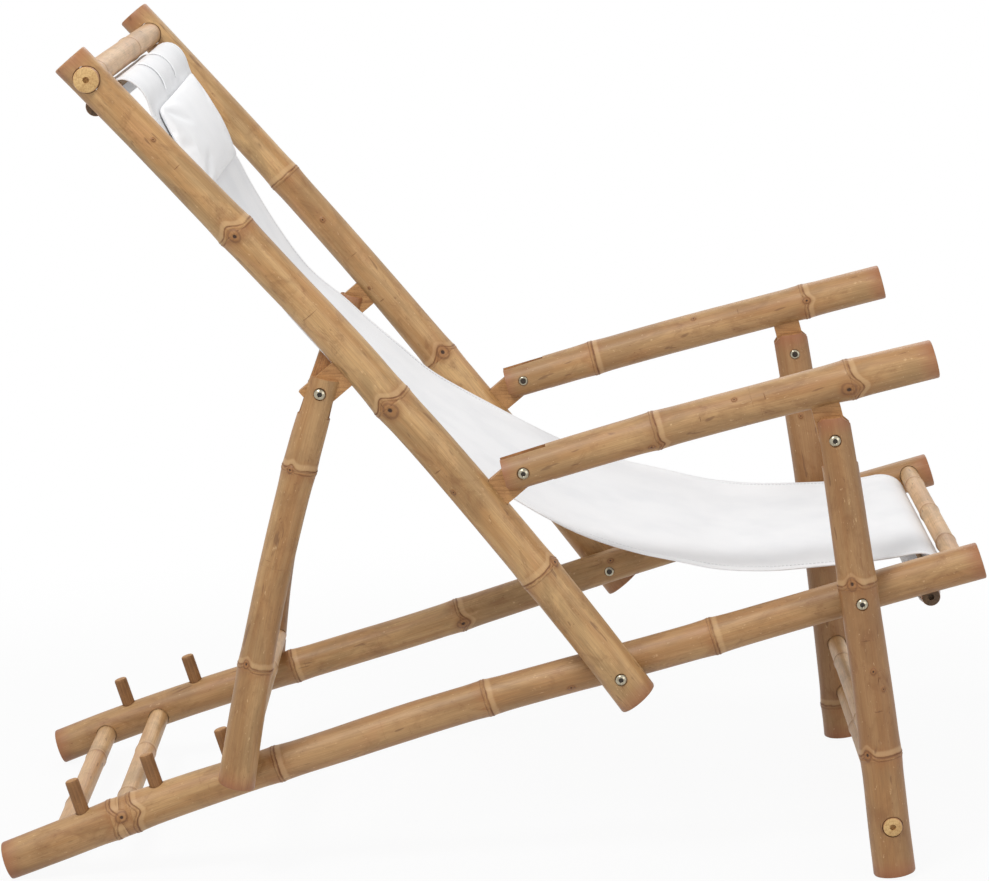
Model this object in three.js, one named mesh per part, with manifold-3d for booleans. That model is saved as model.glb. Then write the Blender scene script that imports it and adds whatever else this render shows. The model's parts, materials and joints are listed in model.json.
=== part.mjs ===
// Bamboo folding recliner: two long rails carry a hinged back, swinging legs, two armrests,
// a prop that leans on pegs, and a loose canvas seat with a padded headrest.
// Millimetres. +X is the front, +Y the sitter's left, +Z up, and the floor is at z = 0.
import * as THREE from 'three';
import { mergeVertices } from 'three/addons/utils/BufferGeometryUtils.js';
import Module from 'manifold-3d';

const wasm = await Module();
wasm.setup();

// Clearances and small common sizes
const FIT_GAP = 0.3;
const OVERRUN = 3;
const END_CHAMFER = 1.2;
const NODE_RIDGE = 0.7;
const NODE_WIDTH = 5;
const PITH_RADIUS = 2.8;
const PITH_DEPTH = 5;
const FOOT_WEAR = 1;
const CANE_SIDES = 16;
const DOWEL_SIDES = 12;
const BOLT_SIDES = 10;
const SEAT_STEPS = 26;
const BEND_STEPS = 14;
const BACK_STEPS = 40;
const FINE_STEPS = 200;
const TAPE_FINE_STEPS = 120;
const TAPE_STEPS = 16;
const PILLOW_STEPS = 8;
const PILLOW_STEPS_ACROSS = 12;

// Rails: the base of the chair, rising from the floor at the rear to the front bar
const RAIL_LENGTH = 1094;
const RAIL_SLOPE = THREE.MathUtils.degToRad(16.8);
const RAIL_REAR_RADIUS = 19.5;
const RAIL_FRONT_RADIUS = 17.6;
const RAIL_REAR_SPREAD = 228;
const RAIL_FRONT_SPREAD = 244;
const RAIL_BOW_RIGHT = 13;
const RAIL_BOW_LEFT = 10;
const RAIL_NODE_SHARES = [0.13, 0.16, 0.31, 0.5, 0.733];

// Cross pieces of the base
const REAR_RUNG_RADIUS = 11.5;
const REAR_RUNG_PLACES = [61, 127];
const REAR_RUNG_LIFT = 1.5;
const FRONT_BAR_RADIUS = 10.5;
const FRONT_BAR_FROM_END = 26;
const FRONT_BAR_LIFT = 4;
const FRONT_ROD_RADIUS = 10;
const FRONT_ROD_FROM_END = 62;
const FRONT_ROD_INSET = 5;
const SOCKET_PAST_AXIS = 6;

// Pegs that stop the prop
const PEG_RADIUS = 7.5;
const PEG_HEIGHT_RIGHT = 41;
const PEG_HEIGHT_LEFT = 36;
const PEG_DEPTH = 24;
const FIRST_PEG_PLACE = 96;
const PEG_STEP = 85.5;
const PEG_PAIRS = 3;

// Pivots on the rails
const LEG_PIVOT_FROM_END = 135;
const PIVOT_SPACING = 264;
const PIVOT_LIFT = 4.5;

// Back: two poles outside the rails, a top bar and the canvas rod behind
const BACK_SLOPE = THREE.MathUtils.degToRad(50.5);
const POLE_TAIL = 32;
const POLE_REACH = 861;
const POLE_EXTRA_LEFT = 4;
const POLE_LOW_RADIUS = 20.7;
const POLE_TOP_RADIUS = 18.6;
const POLE_TOP_SPREAD = 312;
const POLE_BOW_RIGHT = 14;
const POLE_BOW_LEFT = 10;
const POLE_NODE_SHARES = [0.2, 0.47, 0.74];
const TOP_BAR_RADIUS = 13.5;
const TOP_BAR_FROM_END = 28;
const TOP_BAR_PROUD = 2.5;
const TOP_ROD_RADIUS = 10;
const TOP_ROD_BELOW_BAR = 26;
const TOP_ROD_BEHIND = 14;

// Tongues that stand out of the poles and the armrests and fill the forks
const TONGUE_THICKNESS = 13;
const TONGUE_WIDTH = 31;
const TONGUE_ROOT = 17;
const TONGUE_PAST_PIVOT = 16;
const FORK_SIDE_GAP = 0.5;

// Armrests
const ARM_PIVOT_PLACE = 235;
const ARM_PIVOT_OUT = 67;
const ARM_TAIL = 25;
const ARM_REACH = 442;
const ARM_REAR_RADIUS = 19;
const ARM_FRONT_RADIUS = 20;
const ARM_BOW = 4;
const ARM_NODE_SHARES = [0.36, 0.8];
const ARM_FORK_DEPTH = 54;
const ARM_HEEL_CUT = 13;
const ARM_LEG_CLEARANCE = 9;
const ARM_TONGUE_WIDTH = 30;

// Legs
const LEG_LEAN = THREE.MathUtils.degToRad(7.1);
const LEG_LENGTH = 499;
const LEG_FOOT_RADIUS_RIGHT = 21.7;
const LEG_FOOT_RADIUS_LEFT = 23;
const LEG_TOP_RADIUS_RIGHT = 17.6;
const LEG_TOP_RADIUS_LEFT = 19.6;
const LEG_BOW = 4;
const LEG_NODE_SHARES = [0.255, 0.635];
const LEG_PIVOT_AHEAD = 6;
const LEG_TOP_PIVOT_FROM_TOP = 24;
const LEG_TOP_PIVOT_AHEAD = 0.5;
const LEG_FORK_DEPTH = 53;
const LEG_SHOULDER_CUT = 8;
const LEG_RUNG_RADIUS = 10.5;
const LEG_RUNG_LOW_PLACE = 56;
const LEG_RUNG_HIGH_PLACE = 117;
const LEG_RUNG_AHEAD = 4;
const LEG_RUNG_PROUD = 1;

// Prop
const PROP_PIVOT_PLACE = 435.5;
const PROP_PIVOT_BEHIND = 37;
const PROP_TAIL = 30;
const PROP_TOP_REACH_RIGHT = 40;
const PROP_TOP_REACH_LEFT = 17;
const PROP_CHEEK_REACH = 16;
const PROP_LOW_RADIUS_RIGHT = 19.2;
const PROP_LOW_RADIUS_LEFT = 17.6;
const PROP_TOP_RADIUS = 15.4;
const PROP_BOW_RIGHT = 9;
const PROP_BOW_LEFT = 13;
const PROP_LOW_SPREAD = 276;
const PROP_NODE_PLACES = [95, 325];
const PROP_FORK_BELOW = 26;
const PROP_TOP_CLEARANCE = 4;
const PROP_RUNG_RADIUS = 11.2;

// Bolts and sleeve nuts
const BOLT_RADIUS = 3;
const BOLT_HEAD_RADIUS = 6.2;
const BOLT_HEAD_HEIGHT = 3.8;
const BOLT_SOCKET_RADIUS = 2.3;
const BOLT_SOCKET_DEPTH = 2;
const NUT_RADIUS = 5.4;
const NUT_THICKNESS = 2.6;
const SEAT_DEPTH = 1.6;
const SEAT_MARGIN = 0.7;
const OPEN_PIVOT_PLAY = 1.5;

// Canvas and headrest
const CANVAS_THICKNESS = 2;
const CANVAS_HALF_WIDTH = 216;
const SEAT_ROLL = 8;
const MIDDLE_ROLL = -3;
const TOP_ROLL = 5;
const CANVAS_FOLD_SHARES = [
  [0.628, -0.319], [0.643, -0.076], [0.567, 0.137], [0.376, 0.349], [0.078, 0.501],
];
const CANVAS_SEAT_SHARES = [
  [0.0579, 0.0633], [0.1283, 0.0756], [0.3299, 0.1256], [0.464, 0.1646], [0.5883, 0.2143],
];
const CANVAS_BEND_SHARES = [[0.7234, 0.2905], [0.8367, 0.3574], [1.0133, 0.4912]];
const CANVAS_BACK_SHARES = [
  [0.3345, 0.0188], [0.4012, -0.0017], [0.4567, -0.0105], [0.5244, -0.0206], [0.5646, -0.024],
  [0.6306, -0.0293], [0.6935, -0.026], [0.7515, -0.0194], [0.7852, -0.0144], [0.816, -0.0077],
  [0.8479, 0.0006], [0.9, 0.0128], [0.9502, 0.0238], [0.9703, 0.029], [0.9863, 0.0298],
  [1.0001, 0.0246], [1.0081, 0.0157], [1.0097, 0.0058], [1.0086, -0.0044],
];
const PILLOW_LENGTH = 112;
const PILLOW_HALF_WIDTH = 185;
const PILLOW_CROWN = 27;
const PILLOW_EDGE = 9;
const PILLOW_TOP_SHARE = 0.9539;
const PILLOW_DRAW_SHARE = 0.06;
const TAPE_WIDTH = 6;
const TAPE_THICKNESS = 1.2;
const TAPE_SPREAD = 60;

const BAMBOO = { color: 0xcba477, roughness: 0.55, metalness: 0 };
const DOWEL = { color: 0xd9b285, roughness: 0.6, metalness: 0 };
const PEG_WOOD = { color: 0xa8703f, roughness: 0.6, metalness: 0 };
const STEEL = { color: 0xc9c4b8, roughness: 0.25, metalness: 1 };
const CANVAS = { color: 0xf4f4f4, roughness: 0.9, metalness: 0 };

// The canes are natural, so the two sides differ a little in bow, thickness and cut
const SIDES = [
  {
    name: 'right',
    sign: -1,
    railBow: RAIL_BOW_RIGHT,
    pegHeight: PEG_HEIGHT_RIGHT,
    poleBow: POLE_BOW_RIGHT,
    poleReach: POLE_REACH,
    legFootRadius: LEG_FOOT_RADIUS_RIGHT,
    legTopRadius: LEG_TOP_RADIUS_RIGHT,
    propBow: PROP_BOW_RIGHT,
    propLowRadius: PROP_LOW_RADIUS_RIGHT,
    propTopReach: PROP_TOP_REACH_RIGHT,
  },
  {
    name: 'left',
    sign: 1,
    railBow: RAIL_BOW_LEFT,
    pegHeight: PEG_HEIGHT_LEFT,
    poleBow: POLE_BOW_LEFT,
    poleReach: POLE_REACH + POLE_EXTRA_LEFT,
    legFootRadius: LEG_FOOT_RADIUS_LEFT,
    legTopRadius: LEG_TOP_RADIUS_LEFT,
    propBow: PROP_BOW_LEFT,
    propLowRadius: PROP_LOW_RADIUS_LEFT,
    propTopReach: PROP_TOP_REACH_LEFT,
  },
];

const recliner = new THREE.Group();

// Directions and points in the side plane, as [x, z]
const railAlong = [Math.cos(RAIL_SLOPE), Math.sin(RAIL_SLOPE)];
const railUp = [-Math.sin(RAIL_SLOPE), Math.cos(RAIL_SLOPE)];
const poleAlong = [-Math.cos(BACK_SLOPE), Math.sin(BACK_SLOPE)];
const poleAhead = [Math.sin(BACK_SLOPE), Math.cos(BACK_SLOPE)];
const legAlong = [-Math.sin(LEG_LEAN), Math.cos(LEG_LEAN)];
const legAhead = [Math.cos(LEG_LEAN), Math.sin(LEG_LEAN)];

function offset(start, ...moves) {
  return moves.reduce(([x, z], [way, size]) => [x + way[0] * size, z + way[1] * size], start);
}

function mix(a, b, share) {
  return a + (b - a) * share;
}

const railRear = [0, RAIL_REAR_RADIUS * Math.cos(RAIL_SLOPE) - FOOT_WEAR];
const onRail = (place, lift) => offset(railRear, [railAlong, place], [railUp, lift]);
const railSpread = (place) => mix(RAIL_REAR_SPREAD, RAIL_FRONT_SPREAD, place / RAIL_LENGTH);
const railRadius = (place) => mix(RAIL_REAR_RADIUS, RAIL_FRONT_RADIUS, place / RAIL_LENGTH);
const bowAt = (bow, share) => 4 * bow * share * (1 - share);
const railBowAt = (side, place) => bowAt(side.railBow, place / RAIL_LENGTH);

const LEG_PIVOT_PLACE = RAIL_LENGTH - LEG_PIVOT_FROM_END;
const BACK_PIVOT_PLACE = LEG_PIVOT_PLACE - PIVOT_SPACING;
const backPivot = onRail(BACK_PIVOT_PLACE, PIVOT_LIFT);
const legPivot = onRail(LEG_PIVOT_PLACE, PIVOT_LIFT);

const POLE_LENGTH = POLE_TAIL + POLE_REACH;
const POLE_PIVOT_SPREAD = railSpread(BACK_PIVOT_PLACE) + railRadius(BACK_PIVOT_PLACE)
  + POLE_LOW_RADIUS + FIT_GAP;
const onPole = (place, ahead) => offset(backPivot, [poleAlong, place], [poleAhead, ahead]);
const poleSpread = (place) => mix(POLE_PIVOT_SPREAD, POLE_TOP_SPREAD, place / POLE_REACH);
const poleRadius = (place) => mix(POLE_LOW_RADIUS, POLE_TOP_RADIUS, (place + POLE_TAIL) / POLE_LENGTH);
const poleBowAt = (side, place) => bowAt(side.poleBow, (place + POLE_TAIL) / POLE_LENGTH);

// The leg stands so that its foot touches the floor and its axis passes behind the leg pivot
const footHeight = LEG_FOOT_RADIUS_RIGHT * Math.sin(LEG_LEAN) - FOOT_WEAR;
const legFoot = [
  legPivot[0] - LEG_PIVOT_AHEAD / Math.cos(LEG_LEAN)
    + (legPivot[1] - footHeight) * Math.tan(LEG_LEAN),
  footHeight,
];
const onLeg = (place, ahead) => offset(legFoot, [legAlong, place], [legAhead, ahead]);
const legRadius = (side, place) => mix(side.legFootRadius, side.legTopRadius, place / LEG_LENGTH);
const LEG_PIVOT_REACH = (legPivot[1] - footHeight) / Math.cos(LEG_LEAN);
const LEG_SPREAD = railSpread(LEG_PIVOT_PLACE) + railRadius(LEG_PIVOT_PLACE) + FIT_GAP
  + Math.max(...SIDES.map((side) => legRadius(side, LEG_PIVOT_REACH)));

// The armrest slopes from its pivot on the back to clear the top of the leg that carries it
const armPivot = onPole(ARM_PIVOT_PLACE, ARM_PIVOT_OUT);
const openPivot = onLeg(LEG_LENGTH - LEG_TOP_PIVOT_FROM_TOP, LEG_TOP_PIVOT_AHEAD);
const armSpan = [openPivot[0] - armPivot[0], openPivot[1] - armPivot[1]];
const ARM_TONGUE_DROP = ARM_FRONT_RADIUS + ARM_LEG_CLEARANCE + LEG_TOP_PIVOT_FROM_TOP;
const ARM_TONGUE_PLACE = Math.sqrt(Math.hypot(...armSpan) ** 2 - ARM_TONGUE_DROP ** 2);
const ARM_SLOPE = Math.atan2(armSpan[1], armSpan[0]) + Math.atan2(ARM_TONGUE_DROP, ARM_TONGUE_PLACE);
const armAlong = [Math.cos(ARM_SLOPE), Math.sin(ARM_SLOPE)];
const armUp = [-Math.sin(ARM_SLOPE), Math.cos(ARM_SLOPE)];
const ARM_LENGTH = ARM_TAIL + ARM_REACH;
const onArm = (place, up) => offset(armPivot, [armAlong, place], [armUp, up]);
const armSpread = (place) => mix(poleSpread(ARM_PIVOT_PLACE), LEG_SPREAD, place / ARM_TONGUE_PLACE);
const armRadius = (place) => mix(ARM_REAR_RADIUS, ARM_FRONT_RADIUS, (place + ARM_TAIL) / ARM_LENGTH);

// The prop's rung rests on the higher rail, just ahead of the last pair of pegs
const propPivot = onPole(PROP_PIVOT_PLACE, -PROP_PIVOT_BEHIND);
const LAST_PEG_PLACE = FIRST_PEG_PLACE + (PEG_PAIRS - 1) * PEG_STEP;
const PROP_RUNG_PLACE = LAST_PEG_PLACE + PEG_RADIUS + PROP_RUNG_RADIUS + FIT_GAP;
const PROP_RUNG_LIFT = bowAt(RAIL_BOW_RIGHT, PROP_RUNG_PLACE / RAIL_LENGTH)
  + railRadius(PROP_RUNG_PLACE) + NODE_RIDGE + PROP_RUNG_RADIUS + FIT_GAP;
const propRung = onRail(PROP_RUNG_PLACE, PROP_RUNG_LIFT);
const propVector = [propPivot[0] - propRung[0], propPivot[1] - propRung[1]];
const PROP_SPAN = Math.hypot(...propVector);
const propAlong = [propVector[0] / PROP_SPAN, propVector[1] / PROP_SPAN];
const propAhead = [propAlong[1], -propAlong[0]];
const onProp = (place, ahead = 0) => offset(propRung, [propAlong, place], [propAhead, ahead]);
const propLength = (side) => PROP_TAIL + PROP_SPAN + side.propTopReach;
const propShare = (side, place) => (place + PROP_TAIL) / propLength(side);
const propTopSpread = poleSpread(PROP_PIVOT_PLACE);
const propSpread = (place) => mix(PROP_LOW_SPREAD, propTopSpread, place / PROP_SPAN);
const propRadius = (side, place) => mix(side.propLowRadius, PROP_TOP_RADIUS, propShare(side, place));

function makeMesh(name, geometry, look) {
  const mesh = new THREE.Mesh(geometry, new THREE.MeshStandardMaterial(look));
  mesh.name = name;
  return mesh;
}

function add(mesh) {
  recliner.add(mesh);
  return mesh;
}

// A point of the side plane, set out sideways by spread on the given side
function point3([x, z], y) {
  return new THREE.Vector3(x, y, z);
}

// Lays a mesh that was modelled along +X between two points, with its +Z in the side plane
function layAlong(mesh, start, end) {
  const along = end.clone().sub(start).normalize();
  const across = new THREE.Vector3(0, 1, 0).addScaledVector(along, -along.y).normalize();
  const up = new THREE.Vector3().crossVectors(along, across);
  mesh.quaternion.setFromRotationMatrix(new THREE.Matrix4().makeBasis(along, across, up));
  mesh.position.copy(start);
  mesh.updateMatrixWorld(true);
  return mesh;
}

// Turned outline of a stick: chamfered ends with a pith hole, and a ridge at each bamboo node
function stickProfile(length, startRadius, endRadius, nodeShares, steps, pith) {
  const radiusAt = (x) => mix(startRadius, endRadius, x / length);
  const rows = [];
  for (let step = 1; step < steps; step += 1) rows.push([length * step / steps, 0]);
  const clear = rows.filter(([x]) => nodeShares.every(
    (share) => Math.abs(x - share * length) > NODE_WIDTH * 2));
  for (const share of nodeShares) {
    const node = share * length;
    clear.push([node - NODE_WIDTH / 2, 0], [node, NODE_RIDGE], [node + NODE_WIDTH / 2, 0]);
  }
  clear.sort((a, b) => a[0] - b[0]);
  const points = [];
  if (pith) points.push([0, PITH_DEPTH], [PITH_RADIUS, PITH_DEPTH], [PITH_RADIUS, 0]);
  else points.push([0, 0]);
  points.push([startRadius - END_CHAMFER, 0], [startRadius, END_CHAMFER]);
  for (const [x, ridge] of clear) points.push([radiusAt(x) + ridge, x]);
  points.push([endRadius, length - END_CHAMFER], [endRadius - END_CHAMFER, length]);
  if (pith) {
    points.push([PITH_RADIUS, length], [PITH_RADIUS, length - PITH_DEPTH], [0, length - PITH_DEPTH]);
  } else {
    points.push([0, length]);
  }
  return points.map(([radius, x]) => new THREE.Vector2(radius, x));
}

// A bamboo cane along +X, bowed towards its own +Z
function caneGeometry({ length, startRadius, endRadius, nodeShares = [], bow = 0, steps = 8,
  sides = CANE_SIDES, pith = true }) {
  const profile = stickProfile(length, startRadius, endRadius, nodeShares, steps, pith);
  const geometry = new THREE.LatheGeometry(profile, sides);
  geometry.rotateZ(-Math.PI / 2);
  const places = geometry.attributes.position;
  for (let i = 0; i < places.count; i += 1) {
    places.setZ(i, places.getZ(i) + bowAt(bow, places.getX(i) / length));
  }
  return geometry;
}

// A plain round dowel that runs along Y between two spreads
function crossStick(name, radius, [x, z], from, to, look, sides = DOWEL_SIDES) {
  const geometry = caneGeometry({
    length: to - from, startRadius: radius, endRadius: radius, steps: 1, sides,
  });
  const mesh = makeMesh(name, geometry, look);
  mesh.rotation.z = Math.PI / 2;
  mesh.position.set(x, from, z);
  mesh.updateMatrixWorld(true);
  return mesh;
}

function solidOf(mesh) {
  mesh.updateMatrixWorld(true);
  const bare = mesh.geometry.clone().applyMatrix4(mesh.matrixWorld);
  bare.deleteAttribute('normal');
  bare.deleteAttribute('uv');
  const welded = mergeVertices(bare, 1e-4);
  return new wasm.Manifold(new wasm.Mesh({
    numProp: 3,
    vertProperties: new Float32Array(welded.attributes.position.array),
    triVerts: new Uint32Array(welded.index.array),
  }));
}

function geometryOf(solid) {
  const { numProp, vertProperties, triVerts } = solid.getMesh();
  const places = new Float32Array(vertProperties.length / numProp * 3);
  for (let i = 0; i < places.length / 3; i += 1) {
    for (let axis = 0; axis < 3; axis += 1) places[i * 3 + axis] = vertProperties[i * numProp + axis];
  }
  const geometry = new THREE.BufferGeometry();
  geometry.setAttribute('position', new THREE.BufferAttribute(places, 3));
  geometry.setIndex(new THREE.BufferAttribute(new Uint32Array(triVerts), 1));
  return geometry;
}

// Cuts placed cutters out of a placed mesh and joins placed additions to it
function shape(mesh, cutters = [], additions = []) {
  let solid = solidOf(mesh);
  for (const addition of additions) solid = solid.add(solidOf(addition));
  for (const cutter of cutters) solid = solid.subtract(solidOf(cutter));
  const geometry = geometryOf(solid).applyMatrix4(mesh.matrixWorld.clone().invert());
  mesh.geometry = geometry;
  return mesh;
}

// Cutter for a round hole along Y
function holeAcross(radius, [x, z], from, to, sides = DOWEL_SIDES) {
  const geometry = new THREE.CylinderGeometry(radius, radius, to - from, sides);
  const mesh = new THREE.Mesh(geometry);
  mesh.position.set(x, (from + to) / 2, z);
  mesh.updateMatrixWorld(true);
  return mesh;
}

// Cutter for the hole of a cross stick made by crossStick, with the fit gap all round
function socketFor(stick, radius, from, to, sides = DOWEL_SIDES) {
  return holeAcross((radius + FIT_GAP) / Math.cos(Math.PI / sides),
    [stick[0], stick[1]], from, to, sides);
}

// Cutter block in the side plane: starts at a point and runs along a direction
function blockCutter(start, along, length, height, y, thickness) {
  const mesh = new THREE.Mesh(new THREE.BoxGeometry(length, thickness, height));
  const [x, z] = offset(start, [along, length / 2]);
  mesh.position.set(x, y, z);
  mesh.rotation.y = -Math.atan2(along[1], along[0]);
  mesh.updateMatrixWorld(true);
  return mesh;
}

const WIDE = RAIL_LENGTH;

function floorCutter() {
  return blockCutter([-WIDE, -WIDE / 2], [1, 0], WIDE * 3, WIDE, 0, WIDE);
}

// Bolt with a domed head and hex socket, its head outward, and its nut ring on the inner side
function boltGeometry(length) {
  const dome = [];
  const domeSteps = 2;
  for (let step = 0; step <= domeSteps; step += 1) {
    const turn = Math.PI / 2 * step / domeSteps;
    dome.push([BOLT_HEAD_RADIUS * Math.cos(turn), BOLT_HEAD_HEIGHT * Math.sin(turn)]);
  }
  dome[domeSteps] = [0, BOLT_HEAD_HEIGHT];
  const profile = [[0, -length], [BOLT_RADIUS, -length], [BOLT_RADIUS, 0], ...dome];
  const geometry = new THREE.LatheGeometry(profile.map(([r, y]) => new THREE.Vector2(r, y)), BOLT_SIDES);
  const bolt = new THREE.Mesh(geometry);
  const socket = new THREE.Mesh(new THREE.CylinderGeometry(
    BOLT_SOCKET_RADIUS, BOLT_SOCKET_RADIUS, BOLT_SOCKET_DEPTH * 2, 6));
  socket.position.y = BOLT_HEAD_HEIGHT;
  return shape(bolt, [socket]).geometry;
}

function nutGeometry() {
  const bore = BOLT_RADIUS + FIT_GAP;
  const half = NUT_THICKNESS / 2;
  const lip = NUT_THICKNESS / 4;
  const profile = [
    [bore, -half], [NUT_RADIUS, -half], [NUT_RADIUS, half - lip], [NUT_RADIUS - lip, half],
    [bore, half], [bore, -half],
  ];
  return new THREE.LatheGeometry(profile.map(([r, y]) => new THREE.Vector2(r, y)), BOLT_SIDES);
}

// Places a bolt through a pivot. Spreads are measured outward from the middle of the chair:
// outer is the crown that the head sits in, inner the crown that the nut sits in.
function fasten(name, side, pivot, { outer, inner }) {
  const headSeat = outer - SEAT_DEPTH + FIT_GAP;
  const nutSeat = inner + SEAT_DEPTH - FIT_GAP;
  const bolt = makeMesh(`${name}_bolt_${side.name}`,
    boltGeometry(headSeat - nutSeat + NUT_THICKNESS * 0.7), STEEL);
  bolt.position.set(pivot[0], side.sign * headSeat, pivot[1]);
  bolt.rotation.x = side.sign > 0 ? 0 : Math.PI;
  const nut = makeMesh(`${name}_nut_${side.name}`, nutGeometry(), STEEL);
  nut.position.set(pivot[0], side.sign * (nutSeat - NUT_THICKNESS / 2), pivot[1]);
  nut.rotation.x = side.sign > 0 ? Math.PI : 0;
  add(bolt);
  add(nut);
}

function alongY(side, from, to) {
  const ends = [side.sign * from, side.sign * to];
  return [Math.min(...ends), Math.max(...ends)];
}

// Cutters for the shank and the two spot-faced seats of a bolt
function boltCutters(side, pivot, { outer, inner }) {
  const shank = BOLT_RADIUS + FIT_GAP;
  const headSeat = BOLT_HEAD_RADIUS + SEAT_MARGIN;
  const nutSeat = NUT_RADIUS + SEAT_MARGIN;
  return [
    holeAcross(shank, pivot, ...alongY(side, inner - OVERRUN, outer + OVERRUN)),
    holeAcross(headSeat, pivot, ...alongY(side, outer - SEAT_DEPTH, outer + BOLT_HEAD_RADIUS)),
    holeAcross(nutSeat, pivot, ...alongY(side, inner - NUT_RADIUS, inner + SEAT_DEPTH)),
  ];
}

// Flat wooden tongue in the side plane, round or square at its pivot end
function tongueGeometry(start, pivot, width, thickness, past, square) {
  const along = [pivot[0] - start[0], pivot[1] - start[1]];
  const length = Math.hypot(...along);
  const half = width / 2;
  const outline = new THREE.Shape();
  outline.moveTo(0, -half);
  if (square) {
    outline.lineTo(length + past, -half);
    outline.lineTo(length + past, half);
  } else {
    outline.lineTo(length + past - half, -half);
    outline.absarc(length + past - half, 0, half, -Math.PI / 2, Math.PI / 2, false);
  }
  outline.lineTo(0, half);
  outline.closePath();
  const geometry = new THREE.ExtrudeGeometry(outline, {
    depth: thickness, bevelEnabled: false, curveSegments: 8,
  });
  geometry.translate(0, 0, -thickness / 2);
  geometry.rotateX(Math.PI / 2);
  return geometry;
}

function tongueAt(name, start, pivot, y, width, grow = 0, square = false) {
  const geometry = tongueGeometry(start, pivot, width + grow * 2, TONGUE_THICKNESS + grow * 2,
    TONGUE_PAST_PIVOT, square);
  const mesh = makeMesh(name, geometry, DOWEL);
  mesh.position.set(start[0], y, start[1]);
  mesh.rotation.y = -Math.atan2(pivot[1] - start[1], pivot[0] - start[0]);
  mesh.updateMatrixWorld(true);
  return mesh;
}

// Pegs, their places in the rails and the cutters for their holes
function pegAt(side, number, grow = 0) {
  const place = FIRST_PEG_PLACE + (number - 1) * PEG_STEP;
  const crown = railBowAt(side, place) + railRadius(place);
  const low = crown - PEG_DEPTH - grow;
  const high = crown + side.pegHeight;
  const geometry = caneGeometry({
    length: high - low, startRadius: PEG_RADIUS + grow, endRadius: PEG_RADIUS + grow,
    steps: 1, sides: DOWEL_SIDES, pith: false,
  });
  const y = side.sign * railSpread(place);
  const mesh = makeMesh(`peg_${number}_${side.name}`, geometry, PEG_WOOD);
  return layAlong(mesh, point3(onRail(place, low), y), point3(onRail(place, high), y));
}

const rearRungs = REAR_RUNG_PLACES.map((place) => ({ place, at: onRail(place, REAR_RUNG_LIFT) }));
const frontBarPlace = RAIL_LENGTH - FRONT_BAR_FROM_END;
const frontBar = onRail(frontBarPlace, FRONT_BAR_LIFT);
const frontRodPlace = RAIL_LENGTH - FRONT_ROD_FROM_END;
const frontRod = onRail(frontRodPlace,
  -(railRadius(frontRodPlace) - bowAt(RAIL_BOW_LEFT, frontRodPlace / RAIL_LENGTH)
    + FRONT_ROD_RADIUS + FIT_GAP));
const backBolt = {
  outer: POLE_PIVOT_SPREAD + poleRadius(0),
  inner: railSpread(BACK_PIVOT_PLACE) - railRadius(BACK_PIVOT_PLACE),
};
const legBolt = (side) => ({
  outer: LEG_SPREAD + legRadius(side, LEG_PIVOT_REACH),
  inner: railSpread(LEG_PIVOT_PLACE) - railRadius(LEG_PIVOT_PLACE),
});

function addRail(side) {
  const geometry = caneGeometry({
    length: RAIL_LENGTH, startRadius: RAIL_REAR_RADIUS, endRadius: RAIL_FRONT_RADIUS,
    nodeShares: RAIL_NODE_SHARES, bow: side.railBow,
  });
  const rail = layAlong(makeMesh(`rail_${side.name}`, geometry, BAMBOO),
    point3(onRail(0, 0), side.sign * RAIL_REAR_SPREAD),
    point3(onRail(RAIL_LENGTH, 0), side.sign * RAIL_FRONT_SPREAD));
  const cutters = [floorCutter()];
  const socket = (at, radius, place) => socketFor(at, radius,
    ...alongY(side, 0, railSpread(place) + SOCKET_PAST_AXIS + FIT_GAP));
  for (const { place, at } of rearRungs) cutters.push(socket(at, REAR_RUNG_RADIUS, place));
  cutters.push(socket(frontBar, FRONT_BAR_RADIUS, frontBarPlace));
  for (let number = 1; number <= PEG_PAIRS; number += 1) cutters.push(pegAt(side, number, FIT_GAP));
  cutters.push(...boltCutters(side, backPivot, backBolt));
  cutters.push(...boltCutters(side, legPivot, legBolt(side)));
  add(shape(rail, cutters));
}

function addBase() {
  for (const side of SIDES) {
    addRail(side);
    for (let number = 1; number <= PEG_PAIRS; number += 1) add(pegAt(side, number));
    fasten('back_pivot', side, backPivot, backBolt);
    fasten('leg_pivot', side, legPivot, legBolt(side));
  }
  rearRungs.forEach(({ place, at }, index) => {
    const reach = railSpread(place) + SOCKET_PAST_AXIS;
    add(crossStick(`rear_rung_${index + 1}`, REAR_RUNG_RADIUS, at, -reach, reach, DOWEL));
  });
  const barReach = railSpread(frontBarPlace) + SOCKET_PAST_AXIS;
  add(crossStick('front_crossbar', FRONT_BAR_RADIUS, frontBar, -barReach, barReach, DOWEL));
  const rodReach = railSpread(frontRodPlace) - FRONT_ROD_INSET;
  add(crossStick('canvas_front_rod', FRONT_ROD_RADIUS, frontRod, -rodReach, rodReach, DOWEL));
}

const TOP_BAR_PLACE = POLE_REACH - TOP_BAR_FROM_END;
const TOP_ROD_PLACE = TOP_BAR_PLACE - TOP_ROD_BELOW_BAR;
const topBar = onPole(TOP_BAR_PLACE, 0);
const topRod = onPole(TOP_ROD_PLACE, -TOP_ROD_BEHIND);
const topBarReach = poleSpread(TOP_BAR_PLACE) + poleRadius(TOP_BAR_PLACE) + TOP_BAR_PROUD;
const topRodReach = poleSpread(TOP_ROD_PLACE);

function poleTongue(side, place, ahead, grow = 0) {
  const forward = Math.sign(ahead);
  const root = poleBowAt(side, place) - forward * (TONGUE_ROOT - poleRadius(place)) + forward * -grow;
  const name = forward > 0 ? `arm_tongue_${side.name}` : `prop_tongue_${side.name}`;
  return tongueAt(name, onPole(place, root), onPole(place, ahead),
    side.sign * poleSpread(place), TONGUE_WIDTH, grow, forward < 0);
}

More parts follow.
